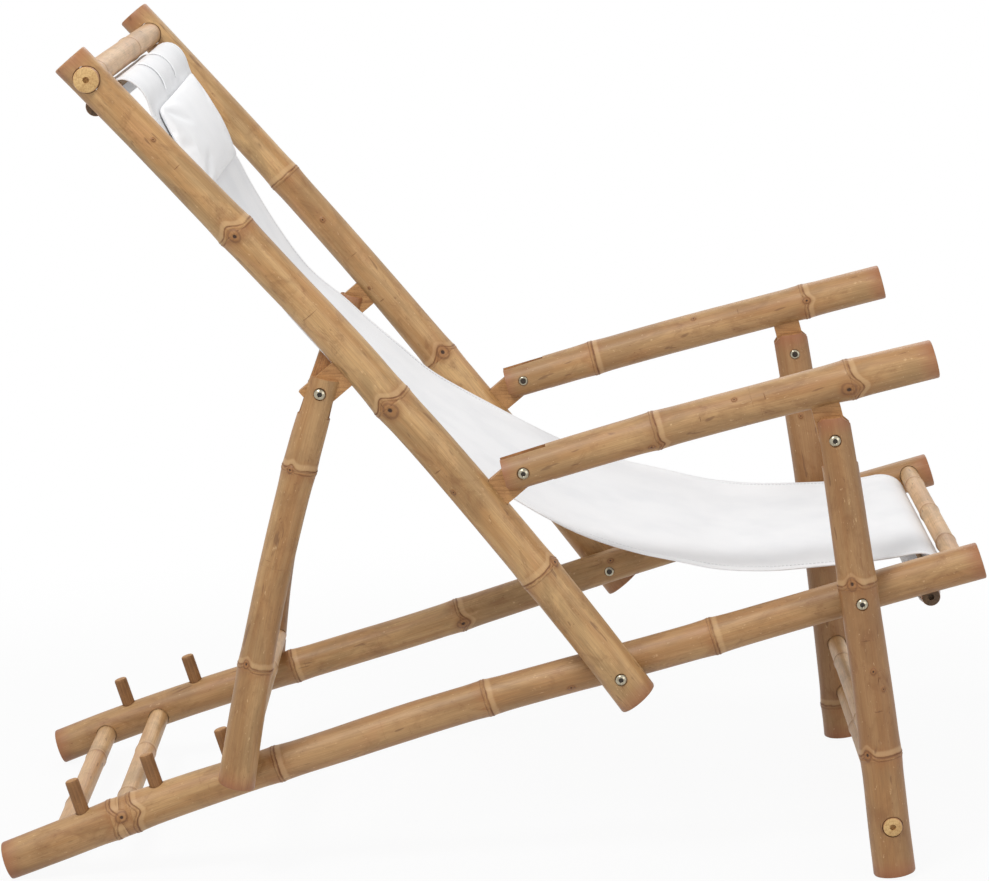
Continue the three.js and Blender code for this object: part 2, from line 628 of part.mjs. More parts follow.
function addPole(side) {
  const length = POLE_TAIL + side.poleReach;
  const geometry = caneGeometry({
    length, startRadius: POLE_LOW_RADIUS, endRadius: POLE_TOP_RADIUS,
    nodeShares: POLE_NODE_SHARES.map((share) => share * POLE_LENGTH / length), bow: -side.poleBow,
  });
  const pole = layAlong(makeMesh(`back_pole_${side.name}`, geometry, BAMBOO),
    point3(onPole(-POLE_TAIL, 0), side.sign * poleSpread(-POLE_TAIL)),
    point3(onPole(side.poleReach, 0), side.sign * poleSpread(side.poleReach)));
  add(shape(pole, [
    socketFor(topBar, TOP_BAR_RADIUS, ...alongY(side, 0, topBarReach + OVERRUN), CANE_SIDES),
    socketFor(topRod, TOP_ROD_RADIUS, ...alongY(side, 0, topRodReach + FIT_GAP)),
    poleTongue(side, ARM_PIVOT_PLACE, ARM_PIVOT_OUT, FIT_GAP),
    poleTongue(side, PROP_PIVOT_PLACE, -PROP_PIVOT_BEHIND, FIT_GAP),
    ...boltCutters(side, backPivot, backBolt),
  ]));
}

function addBack() {
  for (const side of SIDES) {
    addPole(side);
    add(shape(poleTongue(side, ARM_PIVOT_PLACE, ARM_PIVOT_OUT),
      boltCutters(side, armPivot, armBolt)));
    add(shape(poleTongue(side, PROP_PIVOT_PLACE, -PROP_PIVOT_BEHIND),
      boltCutters(side, propPivot, propBolt(side))));
  }
  add(crossStick('top_crossbar', TOP_BAR_RADIUS, topBar, -topBarReach, topBarReach, DOWEL, CANE_SIDES));
  add(crossStick('canvas_top_rod', TOP_ROD_RADIUS, topRod, -topRodReach, topRodReach, DOWEL));
}

const armBolt = {
  outer: armSpread(0) + armRadius(0),
  inner: armSpread(0) - armRadius(0),
};
const openBoltPlace = LEG_LENGTH - LEG_TOP_PIVOT_FROM_TOP;
const openBolt = (side) => ({
  outer: LEG_SPREAD + legRadius(side, openBoltPlace),
  inner: LEG_SPREAD - legRadius(side, openBoltPlace),
});
const propBolt = (side) => ({
  outer: propTopSpread + propRadius(side, PROP_SPAN),
  inner: propTopSpread - propRadius(side, PROP_SPAN),
});

function forkSlot(start, along, depth, y, height) {
  return blockCutter(start, along, depth, height, y, TONGUE_THICKNESS + FORK_SIDE_GAP * 2);
}

function armTongue(side, grow = 0) {
  const rootUp = bowAt(ARM_BOW, (ARM_TONGUE_PLACE + ARM_TAIL) / ARM_LENGTH)
    - armRadius(ARM_TONGUE_PLACE) + TONGUE_ROOT + grow;
  return tongueAt(`leg_tongue_${side.name}`, onArm(ARM_TONGUE_PLACE, rootUp), openPivot,
    side.sign * LEG_SPREAD, ARM_TONGUE_WIDTH, grow);
}

function addArm(side) {
  const geometry = caneGeometry({
    length: ARM_LENGTH, startRadius: ARM_REAR_RADIUS, endRadius: ARM_FRONT_RADIUS,
    nodeShares: ARM_NODE_SHARES, bow: ARM_BOW,
  });
  const arm = layAlong(makeMesh(`armrest_${side.name}`, geometry, BAMBOO),
    point3(onArm(-ARM_TAIL, 0), side.sign * armSpread(-ARM_TAIL)),
    point3(onArm(ARM_REACH, 0), side.sign * armSpread(ARM_REACH)));
  const heelTurn = [-Math.SQRT1_2 * (armAlong[0] - armUp[0]), -Math.SQRT1_2 * (armAlong[1] - armUp[1])];
  const heel = offset(onArm(-ARM_TAIL, -ARM_REAR_RADIUS), [heelTurn, -ARM_HEEL_CUT * 2]);
  const heelOut = [-Math.SQRT1_2 * (armAlong[0] + armUp[0]), -Math.SQRT1_2 * (armAlong[1] + armUp[1])];
  const heelCentre = offset(heel, [heelOut, ARM_HEEL_CUT * 2 - ARM_HEEL_CUT * Math.SQRT1_2]);
  add(shape(arm, [
    forkSlot(onArm(-ARM_TAIL - OVERRUN, 0), armAlong, ARM_FORK_DEPTH + OVERRUN,
      side.sign * armSpread(0), ARM_REAR_RADIUS * 3),
    blockCutter(heelCentre, heelTurn, ARM_HEEL_CUT * 4, ARM_HEEL_CUT * 4,
      side.sign * armSpread(0), ARM_REAR_RADIUS * 3),
    armTongue(side, FIT_GAP),
    ...boltCutters(side, armPivot, armBolt),
  ]));
  add(shape(armTongue(side),
    [holeAcross(BOLT_RADIUS + FIT_GAP + OPEN_PIVOT_PLAY, openPivot,
      ...alongY(side, openBolt(side).inner, openBolt(side).outer), CANE_SIDES)]));
  fasten('arm_pivot', side, armPivot, armBolt);
}

const legRungLow = onLeg(LEG_RUNG_LOW_PLACE, LEG_RUNG_AHEAD);
const legRungHigh = onLeg(LEG_RUNG_HIGH_PLACE, LEG_RUNG_AHEAD);
const legRungReach = (side) => LEG_SPREAD + legRadius(side, LEG_RUNG_LOW_PLACE) + LEG_RUNG_PROUD;
const legRungBlind = LEG_SPREAD + SOCKET_PAST_AXIS;

// Cuts one corner off the top of the leg's fork
function shoulderCutter(side, way) {
  const corner = onLeg(LEG_LENGTH, way * side.legTopRadius);
  const reach = LEG_SHOULDER_CUT * 4;
  const inward = [
    Math.SQRT1_2 * (way * legAhead[0] + legAlong[0]),
    Math.SQRT1_2 * (way * legAhead[1] + legAlong[1]),
  ];
  const start = offset(corner, [inward, -LEG_SHOULDER_CUT * Math.SQRT1_2]);
  return blockCutter(start, inward, reach, reach * 2, side.sign * LEG_SPREAD, side.legTopRadius * 3);
}

function addLegs() {
  for (const side of SIDES) {
    const y = side.sign * LEG_SPREAD;
    const geometry = caneGeometry({
      length: LEG_LENGTH, startRadius: side.legFootRadius, endRadius: side.legTopRadius,
      nodeShares: LEG_NODE_SHARES, bow: -LEG_BOW,
    });
    const leg = layAlong(makeMesh(`leg_${side.name}`, geometry, BAMBOO),
      point3(onLeg(0, 0), y), point3(onLeg(LEG_LENGTH, 0), y));
    add(shape(leg, [
      floorCutter(),
      forkSlot(onLeg(LEG_LENGTH - LEG_FORK_DEPTH, 0), legAlong, LEG_FORK_DEPTH + OVERRUN,
        y, side.legTopRadius * 3),
      shoulderCutter(side, 1),
      shoulderCutter(side, -1),
      socketFor(legRungLow, LEG_RUNG_RADIUS, ...alongY(side, 0, legRungReach(side) + OVERRUN)),
      socketFor(legRungHigh, LEG_RUNG_RADIUS, ...alongY(side, 0, legRungBlind + FIT_GAP)),
      ...boltCutters(side, legPivot, legBolt(side)),
      ...boltCutters(side, openPivot, openBolt(side)),
    ]));
    fasten('leg_top', side, openPivot, openBolt(side));
  }
  add(crossStick('leg_rung_low', LEG_RUNG_RADIUS, legRungLow,
    -legRungReach(SIDES[0]), legRungReach(SIDES[1]), DOWEL));
  add(crossStick('leg_rung_high', LEG_RUNG_RADIUS, legRungHigh, -legRungBlind, legRungBlind, DOWEL));
}

// Trims the top of a strut parallel to the pole, with the outer cheek cut lower than the inner
function propTopCutters(side) {
  const poleBack = poleBowAt(side, PROP_PIVOT_PLACE) - poleRadius(PROP_PIVOT_PLACE);
  const face = onPole(PROP_PIVOT_PLACE, poleBack - PROP_TOP_CLEARANCE);
  const block = PROP_TOP_REACH_RIGHT * 3;
  const start = offset(face, [poleAlong, -block / 2], [poleAhead, block / 2]);
  const y = side.sign * propTopSpread;
  return [
    blockCutter(start, poleAlong, block, block, y, block),
    blockCutter(onProp(PROP_SPAN + PROP_CHEEK_REACH), propAlong, block, block,
      y + side.sign * block / 2, block),
  ];
}

// The chord of a strut is drawn forward so that its bowed axis still meets the pivot
function addStrut(side) {
  const draw = bowAt(side.propBow, propShare(side, PROP_SPAN)) / PROP_SPAN;
  const chord = (place) => point3(onProp(place, draw * place), side.sign * propSpread(place));
  const length = propLength(side);
  const geometry = caneGeometry({
    length, startRadius: side.propLowRadius, endRadius: PROP_TOP_RADIUS, bow: side.propBow,
    nodeShares: PROP_NODE_PLACES.map((place) => propShare(side, place)),
  });
  const strut = layAlong(makeMesh(`prop_strut_${side.name}`, geometry, BAMBOO),
    chord(-PROP_TAIL), chord(PROP_SPAN + side.propTopReach));
  add(shape(strut, [
    forkSlot(onProp(PROP_SPAN - PROP_FORK_BELOW), propAlong,
      PROP_FORK_BELOW + side.propTopReach + OVERRUN, side.sign * propTopSpread, PROP_TOP_RADIUS * 3),
    ...propTopCutters(side),
    socketFor(propRung, PROP_RUNG_RADIUS,
      ...alongY(side, 0, PROP_LOW_SPREAD + SOCKET_PAST_AXIS + FIT_GAP)),
    ...boltCutters(side, propPivot, propBolt(side)),
  ]));
}

function addProp() {
  for (const side of SIDES) {
    addStrut(side);
    fasten('prop_pivot', side, propPivot, propBolt(side));
  }
  const reach = PROP_LOW_SPREAD + SOCKET_PAST_AXIS;
  add(crossStick('prop_rung', PROP_RUNG_RADIUS, propRung, -reach, reach, DOWEL));
}

// Canvas: a thin sheet that follows a line in the side plane. Its fold over the front rod follows
// the gap to the front bar, its seat the span to the back pivot and its back the reach of the top rod
const FOLD_GAP = FRONT_ROD_FROM_END - FRONT_BAR_FROM_END;
const SEAT_SPAN = frontRodPlace - BACK_PIVOT_PLACE;
const foldPoint = ([ahead, up]) => onRail(frontRodPlace + ahead * FOLD_GAP, up * FOLD_GAP);
const seatPoint = ([behind, up]) => onRail(frontRodPlace - behind * SEAT_SPAN, up * SEAT_SPAN);
const backPoint = ([along, out]) => onPole(along * TOP_ROD_PLACE, out * TOP_ROD_PLACE);
const seatLine = [...CANVAS_FOLD_SHARES.map(foldPoint), ...CANVAS_SEAT_SHARES.map(seatPoint)];
const bendLine = CANVAS_BEND_SHARES.map(seatPoint);
const backLine = CANVAS_BACK_SHARES.map(backPoint);

// The cloth hangs a little lower on the right over the seat and the top bend, and higher between
const rolls = [
  { front: frontRod[0], back: backLine[3][0], rise: SEAT_ROLL },
  { front: backLine[3][0], back: backLine[10][0], rise: MIDDLE_ROLL },
  { front: backLine[10][0], back: topRod[0], rise: TOP_ROLL },
];

function roll(geometry) {
  const places = geometry.attributes.position;
  for (let i = 0; i < places.count; i += 1) {
    const x = places.getX(i);
    const side = places.getY(i) / CANVAS_HALF_WIDTH;
    for (const { front, back, rise } of rolls) {
      const share = (x - back) / (front - back);
      if (share > 0 && share < 1) {
        places.setZ(i, places.getZ(i) + rise * side * Math.sin(Math.PI * share) ** 2);
      }
    }
  }
  return geometry;
}

function normalsOf(line) {
  return line.map((_, i) => {
    const before = line[Math.max(0, i - 1)];
    const after = line[Math.min(line.length - 1, i + 1)];
    const size = Math.hypot(after[0] - before[0], after[1] - before[1]);
    return [-(after[1] - before[1]) / size, (after[0] - before[0]) / size];
  });
}

function sheetGeometry(line, thickness, halfWidth) {
  const normals = normalsOf(line);
  const upper = line.map((at, i) => offset(at, [normals[i], thickness / 2]));
  const lower = line.map((at, i) => offset(at, [normals[i], -thickness / 2]));
  const outline = [...upper, ...lower.reverse()].map(([x, z]) => new THREE.Vector2(x, z));
  const geometry = new THREE.ExtrudeGeometry(new THREE.Shape(outline), {
    depth: halfWidth * 2, bevelEnabled: false,
  });
  geometry.rotateX(Math.PI / 2);
  geometry.translate(0, halfWidth, 0);
  return geometry;
}

// The hem that wraps a rod
function hemGeometry(radius, halfWidth) {
  const inner = radius + FIT_GAP;
  const outer = inner + CANVAS_THICKNESS;
  const profile = [
    [inner, -halfWidth], [outer, -halfWidth], [outer, halfWidth], [inner, halfWidth],
    [inner, -halfWidth],
  ];
  return new THREE.LatheGeometry(profile.map(([r, y]) => new THREE.Vector2(r, y)), CANE_SIDES);
}

function hemAt([x, z], radius) {
  const hem = new THREE.Mesh(hemGeometry(radius, CANVAS_HALF_WIDTH));
  hem.position.set(x, 0, z);
  return hem;
}

function spline(line, count) {
  const curve = new THREE.CatmullRomCurve3(line.map(([x, z]) => new THREE.Vector3(x, 0, z)),
    false, 'centripetal');
  return curve.getPoints(count).map(({ x, z }) => [x, z]);
}

// Draws a point back from a neighbour so that two sheets keep the fit gap between them
function shyOf(point, neighbour) {
  const size = Math.hypot(neighbour[0] - point[0], neighbour[1] - point[1]);
  const step = FIT_GAP / 2 / size;
  return [mix(point[0], neighbour[0], step), mix(point[1], neighbour[1], step)];
}

function addCanvas() {
  const bendFull = [seatLine.at(-1), ...bendLine, backLine[0]];
  const seatEnd = seatLine.slice(0, -1).concat([shyOf(seatLine.at(-1), seatLine.at(-2))]);
  const seatSheet = makeMesh('canvas_seat', roll(sheetGeometry(
    spline([onRim(frontRod, FRONT_ROD_RADIUS, seatLine[0]), ...seatEnd], SEAT_STEPS), CANVAS_THICKNESS, CANVAS_HALF_WIDTH)),
  CANVAS);
  add(shape(seatSheet, [holeAcross(FRONT_ROD_RADIUS + FIT_GAP, frontRod, -WIDE, WIDE, CANE_SIDES)],
    [hemAt(frontRod, FRONT_ROD_RADIUS)]));
  const bend = spline(bendFull, BEND_STEPS);
  bend[0] = shyOf(bend[0], bend[1]);
  bend[bend.length - 1] = shyOf(bend.at(-1), bend.at(-2));
  add(makeMesh('canvas_bend', roll(sheetGeometry(bend, CANVAS_THICKNESS, CANVAS_HALF_WIDTH)), CANVAS));
  const backStart = [shyOf(backLine[0], backLine[1]), ...backLine.slice(1)];
  const backSheet = makeMesh('canvas_back', roll(sheetGeometry(
    spline([...backStart, onRim(topRod, TOP_ROD_RADIUS, backLine.at(-1))], BACK_STEPS), CANVAS_THICKNESS, CANVAS_HALF_WIDTH)),
  CANVAS);
  add(shape(backSheet, [holeAcross(TOP_ROD_RADIUS + FIT_GAP, topRod, -WIDE, WIDE, CANE_SIDES)],
    [hemAt(topRod, TOP_ROD_RADIUS)]));
}

// The point of a rod's hem that faces the given point
function onRim(rod, radius, towards) {
  const size = Math.hypot(towards[0] - rod[0], towards[1] - rod[1]);
  const reach = radius + FIT_GAP + CANVAS_THICKNESS / 2;
  return [rod[0] + (towards[0] - rod[0]) / size * reach, rod[1] + (towards[1] - rod[1]) / size * reach];
}

// Headrest pillow: crowned on its front, lying on the canvas line, its sides drawn in
function addPillow() {
  const line = spline(backLine, FINE_STEPS);
  const start = line.findIndex(([x, z]) => (x - backPivot[0]) * poleAlong[0]
    + (z - backPivot[1]) * poleAlong[1] > PILLOW_TOP_SHARE * TOP_ROD_PLACE);
  const picked = [];
  let travelled = 0;
  for (let i = start; i > 0 && travelled < PILLOW_LENGTH; i -= 1) {
    picked.push(line[i]);
    travelled += Math.hypot(line[i][0] - line[i - 1][0], line[i][1] - line[i - 1][1]);
  }
  const base = spline(picked, PILLOW_STEPS);
  const normals = normalsOf(base).map(([x, z]) => (x > 0 ? [x, z] : [-x, -z]));
  const lift = CANVAS_THICKNESS / 2 + FIT_GAP * 2;
  const fullness = (u) => Math.sqrt(Math.max(0, 1 - Math.abs(2 * u - 1) ** 3));
  const drawIn = (u) => 1 - PILLOW_DRAW_SHARE * (1 - fullness(u));
  const places = [];
  const index = [];
  const at = (i, j, top) => {
    const u = i / PILLOW_STEPS;
    const v = j / PILLOW_STEPS_ACROSS;
    const height = top
      ? PILLOW_EDGE / 2 + (PILLOW_CROWN - PILLOW_EDGE / 2) * fullness(u) * fullness(v) : 0;
    const [x, z] = offset(base[i], [normals[i], lift + height]);
    places.push(x, (2 * v - 1) * PILLOW_HALF_WIDTH * drawIn(u), z);
    return places.length / 3 - 1;
  };
  const grid = [true, false].map((top) => Array.from({ length: PILLOW_STEPS + 1 },
    (_, i) => Array.from({ length: PILLOW_STEPS_ACROSS + 1 }, (__, j) => at(i, j, top))));
  const quad = (a, b, c, d) => index.push(a, b, c, a, c, d);
  for (let i = 0; i < PILLOW_STEPS; i += 1) {
    for (let j = 0; j < PILLOW_STEPS_ACROSS; j += 1) {
      quad(grid[0][i][j], grid[0][i + 1][j], grid[0][i + 1][j + 1], grid[0][i][j + 1]);
      quad(grid[1][i][j + 1], grid[1][i + 1][j + 1], grid[1][i + 1][j], grid[1][i][j]);
    }
    quad(grid[1][i][0], grid[1][i + 1][0], grid[0][i + 1][0], grid[0][i][0]);
    quad(grid[0][i][PILLOW_STEPS_ACROSS], grid[0][i + 1][PILLOW_STEPS_ACROSS], grid[1][i + 1][PILLOW_STEPS_ACROSS], grid[1][i][PILLOW_STEPS_ACROSS]);
  }
  for (let j = 0; j < PILLOW_STEPS_ACROSS; j += 1) {
    quad(grid[0][0][j], grid[0][0][j + 1], grid[1][0][j + 1], grid[1][0][j]);
    quad(grid[1][PILLOW_STEPS][j], grid[1][PILLOW_STEPS][j + 1], grid[0][PILLOW_STEPS][j + 1], grid[0][PILLOW_STEPS][j]);
  }
  const geometry = new THREE.BufferGeometry();
  geometry.setAttribute('position', new THREE.Float32BufferAttribute(places, 3));
  geometry.setIndex(index);
  add(makeMesh('headrest_pillow', roll(geometry), CANVAS));
  return base[0];
}

// Two tapes that hold the pillow, over the top bend of the canvas
function addTapes(pillowTop) {
  const line = spline(backLine, TAPE_FINE_STEPS);
  const near = line.reduce((best, at, i) => (
    Math.hypot(at[0] - pillowTop[0], at[1] - pillowTop[1])
    < Math.hypot(line[best][0] - pillowTop[0], line[best][1] - pillowTop[1]) ? i : best), 0);
  const path = line.slice(near + 1, -4);
  const normals = normalsOf(path).map(([x, z]) => [-x, -z]);
  const rise = CANVAS_THICKNESS / 2 + FIT_GAP + TAPE_THICKNESS / 2;
  for (const side of SIDES) {
    const raised = path.map((at, i) => offset(at, [normals[i], rise]));
    const geometry = sheetGeometry(spline(raised, TAPE_STEPS), TAPE_THICKNESS, TAPE_WIDTH / 2);
    geometry.translate(0, side.sign * TAPE_SPREAD, 0);
    add(makeMesh(`headrest_tape_${side.name}`, roll(geometry), CANVAS));
  }
}

addBase();
addBack();
for (const side of SIDES) addArm(side);
addLegs();
addProp();
addCanvas();
addTapes(addPillow());

// The origin is on the floor under the middle of the chair
const outer = new THREE.Box3().setFromObject(recliner, true);
recliner.position.set(-(outer.min.x + outer.max.x) / 2, 0, -outer.min.z);
recliner.updateMatrixWorld(true);

export default recliner;
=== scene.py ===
"""Bamboo folding recliner: the canes, bars, pegs, bolts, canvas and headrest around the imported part."""
import json
import math

import bmesh
import bpy
import numpy as np
from mathutils import Matrix, Vector


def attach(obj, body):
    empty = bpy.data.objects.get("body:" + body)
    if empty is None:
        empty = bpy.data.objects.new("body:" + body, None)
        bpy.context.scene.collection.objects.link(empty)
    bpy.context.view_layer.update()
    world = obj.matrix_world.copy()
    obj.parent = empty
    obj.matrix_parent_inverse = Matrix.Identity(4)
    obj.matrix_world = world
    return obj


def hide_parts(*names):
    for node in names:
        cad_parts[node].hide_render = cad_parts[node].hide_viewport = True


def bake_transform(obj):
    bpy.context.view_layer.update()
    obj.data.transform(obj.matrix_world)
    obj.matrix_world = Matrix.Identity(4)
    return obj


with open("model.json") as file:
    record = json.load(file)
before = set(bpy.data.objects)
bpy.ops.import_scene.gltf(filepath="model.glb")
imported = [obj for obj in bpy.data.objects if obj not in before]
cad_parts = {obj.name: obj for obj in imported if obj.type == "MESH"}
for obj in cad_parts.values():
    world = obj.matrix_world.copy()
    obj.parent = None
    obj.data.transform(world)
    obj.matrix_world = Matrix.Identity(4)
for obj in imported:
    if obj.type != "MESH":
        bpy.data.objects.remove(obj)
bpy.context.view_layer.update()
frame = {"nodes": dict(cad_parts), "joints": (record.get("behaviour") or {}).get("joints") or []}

# Camera
# Place, aim and lens were solved from the photograph, 989 by 881 pixels
CAMERA_AT = Vector((0.05786, -3.96160, 1.16545))
CAMERA_YAW, CAMERA_PITCH, CAMERA_ROLL = (math.radians(a) for a in (-0.687, -10.580, -1.3325))
CAMERA_LENS, CAMERA_SENSOR = 131.04, 36
CAMERA_CLIP_START, CAMERA_CLIP_END = 0.05, 60


def make_camera():
    forward = Vector((
        math.sin(CAMERA_YAW) * math.cos(CAMERA_PITCH),
        math.cos(CAMERA_YAW) * math.cos(CAMERA_PITCH),
        math.sin(CAMERA_PITCH),
    ))
    level = Vector((math.cos(CAMERA_YAW), -math.sin(CAMERA_YAW), 0))
    upright = level.cross(forward)
    c, s = math.cos(CAMERA_ROLL), math.sin(CAMERA_ROLL)
    right, up = c * level + s * upright, c * upright - s * level
    data = bpy.data.cameras.new("camera")
    data.lens, data.sensor_width = CAMERA_LENS, CAMERA_SENSOR
    data.clip_start, data.clip_end = CAMERA_CLIP_START, CAMERA_CLIP_END
    camera = bpy.data.objects.new("camera", data)
    camera.matrix_world = Matrix.Translation(CAMERA_AT) @ Matrix((right, up, -forward)).transposed().to_4x4()
    bpy.context.scene.collection.objects.link(camera)
    bpy.context.scene.camera = camera


make_camera()


# The part's sizes, in millimetres
MM = 0.001
FIT_GAP = 0.3
RAIL_LENGTH, RAIL_SLOPE = 1094, math.radians(16.8)
RAIL_RADII, RAIL_SPREADS = (19.5, 17.6), (228, 244)
BACK_PIVOT_PLACE, LEG_PIVOT_PLACE, PIVOT_LIFT = 695, 959, 4.5
REAR_RUNG_PLACES, REAR_RUNG_LIFT, REAR_RUNG_RADIUS = (61, 127), 1.5, 11.5
FRONT_BAR_PLACE, FRONT_BAR_LIFT, FRONT_BAR_RADIUS = RAIL_LENGTH - 26, 4, 10.5
FRONT_ROD_PLACE, FRONT_ROD_RADIUS, FRONT_ROD_SHORT = RAIL_LENGTH - 62, 10, 5
BACK_SLOPE, POLE_TAIL, POLE_REACH = math.radians(50.5), 32, 861
POLE_RADII, POLE_TOP_SPREAD = (20.7, 18.6), 312
TOP_BAR_RADIUS, TOP_BAR_PLACE, TOP_BAR_PROUD = 13.5, 833, 2.5
TOP_ROD_RADIUS, TOP_ROD_PLACE, TOP_ROD_BEHIND = 10, 807, 14
TONGUE_THICKNESS, FORK_SIDE_GAP = 13, 0.5
ARM_PIVOT_PLACE, ARM_PIVOT_OUT, ARM_SLOPE = 235, 67, math.radians(14.05)
ARM_RADII, ARM_TAIL, ARM_REACH, ARM_BOW = (19, 20), 25, 442, 4
ARM_FORK_DEPTH, ARM_HEEL_CUT, ARM_TAIL_TRIM, ARM_HEEL_TRIM = 54, 13, 4.5, 4
ARM_TONGUE_PLACE, ARM_TONGUE_DROP = 320, 53
LEG_LEAN, LEG_LENGTH, LEG_BOW = math.radians(7.1), 499, 4
LEG_PIVOT_AHEAD, LEG_FORK_DEPTH, LEG_SHOULDER_CUT = 6, 53, 8
LEG_RUNG_RADIUS, LEG_RUNG_LOW, LEG_RUNG_HIGH, LEG_RUNG_PROUD = 10.5, (56, 7), (117, 4), 1
PROP_PIVOT_PLACE, PROP_PIVOT_BEHIND, PROP_TAIL = 435.5, 37, 30
PROP_CHEEK_REACH, PROP_TOP_RADIUS, PROP_LOW_SPREAD = 16, 15.4, 276
PROP_FORK_BELOW, PROP_TOP_CLEARANCE = 26, 4
PROP_RUNG_RADIUS, PROP_RUNG_LIFT = 11.2, 0.7
PEG_RADIUS, PEG_DEPTH, FIRST_PEG_PLACE, PEG_STEP, PEG_PAIRS = 7.5, 24, 96, 85.5, 3
PEG_HOLE_SPARE, PEG_HOLE_MOUTH = 0.5, 8
FOOT_WEAR, SOCKET_PAST_AXIS = 1, 6
BOLT_RADIUS, BOLT_HEAD_RADIUS, BOLT_HEAD_HEIGHT, BOLT_SOCKET_RADIUS = 3, 6.2, 3.8, 2.6
NUT_RADIUS, NUT_THICKNESS, NUT_BORE, SEAT_DEPTH, SEAT_MARGIN = 5.4, 2.6, 3.3, 1.6, 0.7
CANVAS_HALF_WIDTH, SEAT_ROLL, MIDDLE_ROLL, TOP_ROLL = 216, 8, -8, 5

SIDES = (
    dict(name="right", sign=-1, rail_bow=13, peg_height=41, pole_bow=14, pole_reach=861,
         leg_foot=21.7, leg_top=17.6, prop_bow=9, prop_low=19.2, prop_top_reach=40),
    dict(name="left", sign=1, rail_bow=10, peg_height=36, pole_bow=10, pole_reach=865,
         leg_foot=23, leg_top=19.6, prop_bow=13, prop_low=17.6, prop_top_reach=17),
)
RIGHT, LEFT = SIDES


def turned_way(angle, along=1):
    return Vector((along * math.cos(angle), math.sin(angle)))


def mix(a, b, share):
    return a + (b - a) * share


def bow_at(bow, share):
    return 4 * bow * share * (1 - share)


def axis_line(origin, along, off):
    """Gives a point of the side plane by its place along a line and its distance off it."""
    return lambda place, away=0.0: origin + along * place + off * away


def grade(start, end, length, tail=0):
    """Gives a value that changes evenly along a cane, which starts a tail's length before place 0."""
    return lambda place: mix(start, end, (place + tail) / length)


rail_along, rail_up = turned_way(RAIL_SLOPE), Vector((-math.sin(RAIL_SLOPE), math.cos(RAIL_SLOPE)))
pole_along, pole_ahead = turned_way(BACK_SLOPE, -1), Vector((math.sin(BACK_SLOPE), math.cos(BACK_SLOPE)))
arm_along, arm_up = turned_way(ARM_SLOPE), Vector((-math.sin(ARM_SLOPE), math.cos(ARM_SLOPE)))
leg_along, leg_ahead = Vector((-math.sin(LEG_LEAN), math.cos(LEG_LEAN))), turned_way(LEG_LEAN)

rail_rear = Vector((0, RAIL_RADII[0] * math.cos(RAIL_SLOPE) - FOOT_WEAR))
on_rail = axis_line(rail_rear, rail_along, rail_up)
rail_spread, rail_radius = grade(*RAIL_SPREADS, RAIL_LENGTH), grade(*RAIL_RADII, RAIL_LENGTH)
back_pivot, leg_pivot = on_rail(BACK_PIVOT_PLACE, PIVOT_LIFT), on_rail(LEG_PIVOT_PLACE, PIVOT_LIFT)

POLE_LENGTH = POLE_TAIL + POLE_REACH
POLE_PIVOT_SPREAD = rail_spread(BACK_PIVOT_PLACE) + rail_radius(BACK_PIVOT_PLACE) + POLE_RADII[0] + FIT_GAP
on_pole = axis_line(back_pivot, pole_along, pole_ahead)
pole_spread = grade(POLE_PIVOT_SPREAD, POLE_TOP_SPREAD, POLE_REACH)
pole_radius = grade(*POLE_RADII, POLE_LENGTH, POLE_TAIL)

foot_height = RIGHT["leg_foot"] * math.sin(LEG_LEAN) - FOOT_WEAR
leg_foot = Vector((
    leg_pivot.x - LEG_PIVOT_AHEAD / math.cos(LEG_LEAN) + (leg_pivot.y - foot_height) * math.tan(LEG_LEAN),
    foot_height,
))
on_leg = axis_line(leg_foot, leg_along, leg_ahead)


def leg_radius(side, place):
    return mix(side["leg_foot"], side["leg_top"], place / LEG_LENGTH)


LEG_PIVOT_REACH = (leg_pivot.y - foot_height) / math.cos(LEG_LEAN)
LEG_SPREAD = (rail_spread(LEG_PIVOT_PLACE) + rail_radius(LEG_PIVOT_PLACE) + FIT_GAP
              + max(leg_radius(side, LEG_PIVOT_REACH) for side in SIDES))

arm_pivot = on_pole(ARM_PIVOT_PLACE, ARM_PIVOT_OUT)
ARM_LENGTH = ARM_TAIL + ARM_REACH
on_arm = axis_line(arm_pivot, arm_along, arm_up)
arm_spread = grade(pole_spread(ARM_PIVOT_PLACE), LEG_SPREAD, ARM_TONGUE_PLACE)
arm_radius = grade(*ARM_RADII, ARM_LENGTH, ARM_TAIL)
open_pivot = on_arm(ARM_TONGUE_PLACE, -ARM_TONGUE_DROP)

prop_pivot = on_pole(PROP_PIVOT_PLACE, -PROP_PIVOT_BEHIND)
PROP_RUNG_PLACE = FIRST_PEG_PLACE + (PEG_PAIRS - 1) * PEG_STEP + PEG_RADIUS + PROP_RUNG_RADIUS + FIT_GAP
prop_rung = on_rail(PROP_RUNG_PLACE, bow_at(RIGHT["rail_bow"], PROP_RUNG_PLACE / RAIL_LENGTH)
                    + rail_radius(PROP_RUNG_PLACE) + PROP_RUNG_LIFT + PROP_RUNG_RADIUS + FIT_GAP)
PROP_SPAN = (prop_pivot - prop_rung).length
prop_along = (prop_pivot - prop_rung).normalized()
prop_ahead = Vector((prop_along.y, -prop_along.x))
on_prop = axis_line(prop_rung, prop_along, prop_ahead)
prop_top_spread = pole_spread(PROP_PIVOT_PLACE)
prop_spread = grade(PROP_LOW_SPREAD, prop_top_spread, PROP_SPAN)


def prop_length(side):
    return PROP_TAIL + PROP_SPAN + side["prop_top_reach"]


def prop_radius(side, place):
    return mix(side["prop_low"], PROP_TOP_RADIUS, (place + PROP_TAIL) / prop_length(side))


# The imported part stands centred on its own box, so its back pivot gives the shift
back_joint = next(joint for joint in frame["joints"] if joint["name"] == "back_raise")
SHIFT = Vector((back_joint["pos_m"][0] - back_pivot.x * MM, 0, back_joint["pos_m"][2] - back_pivot.y * MM))


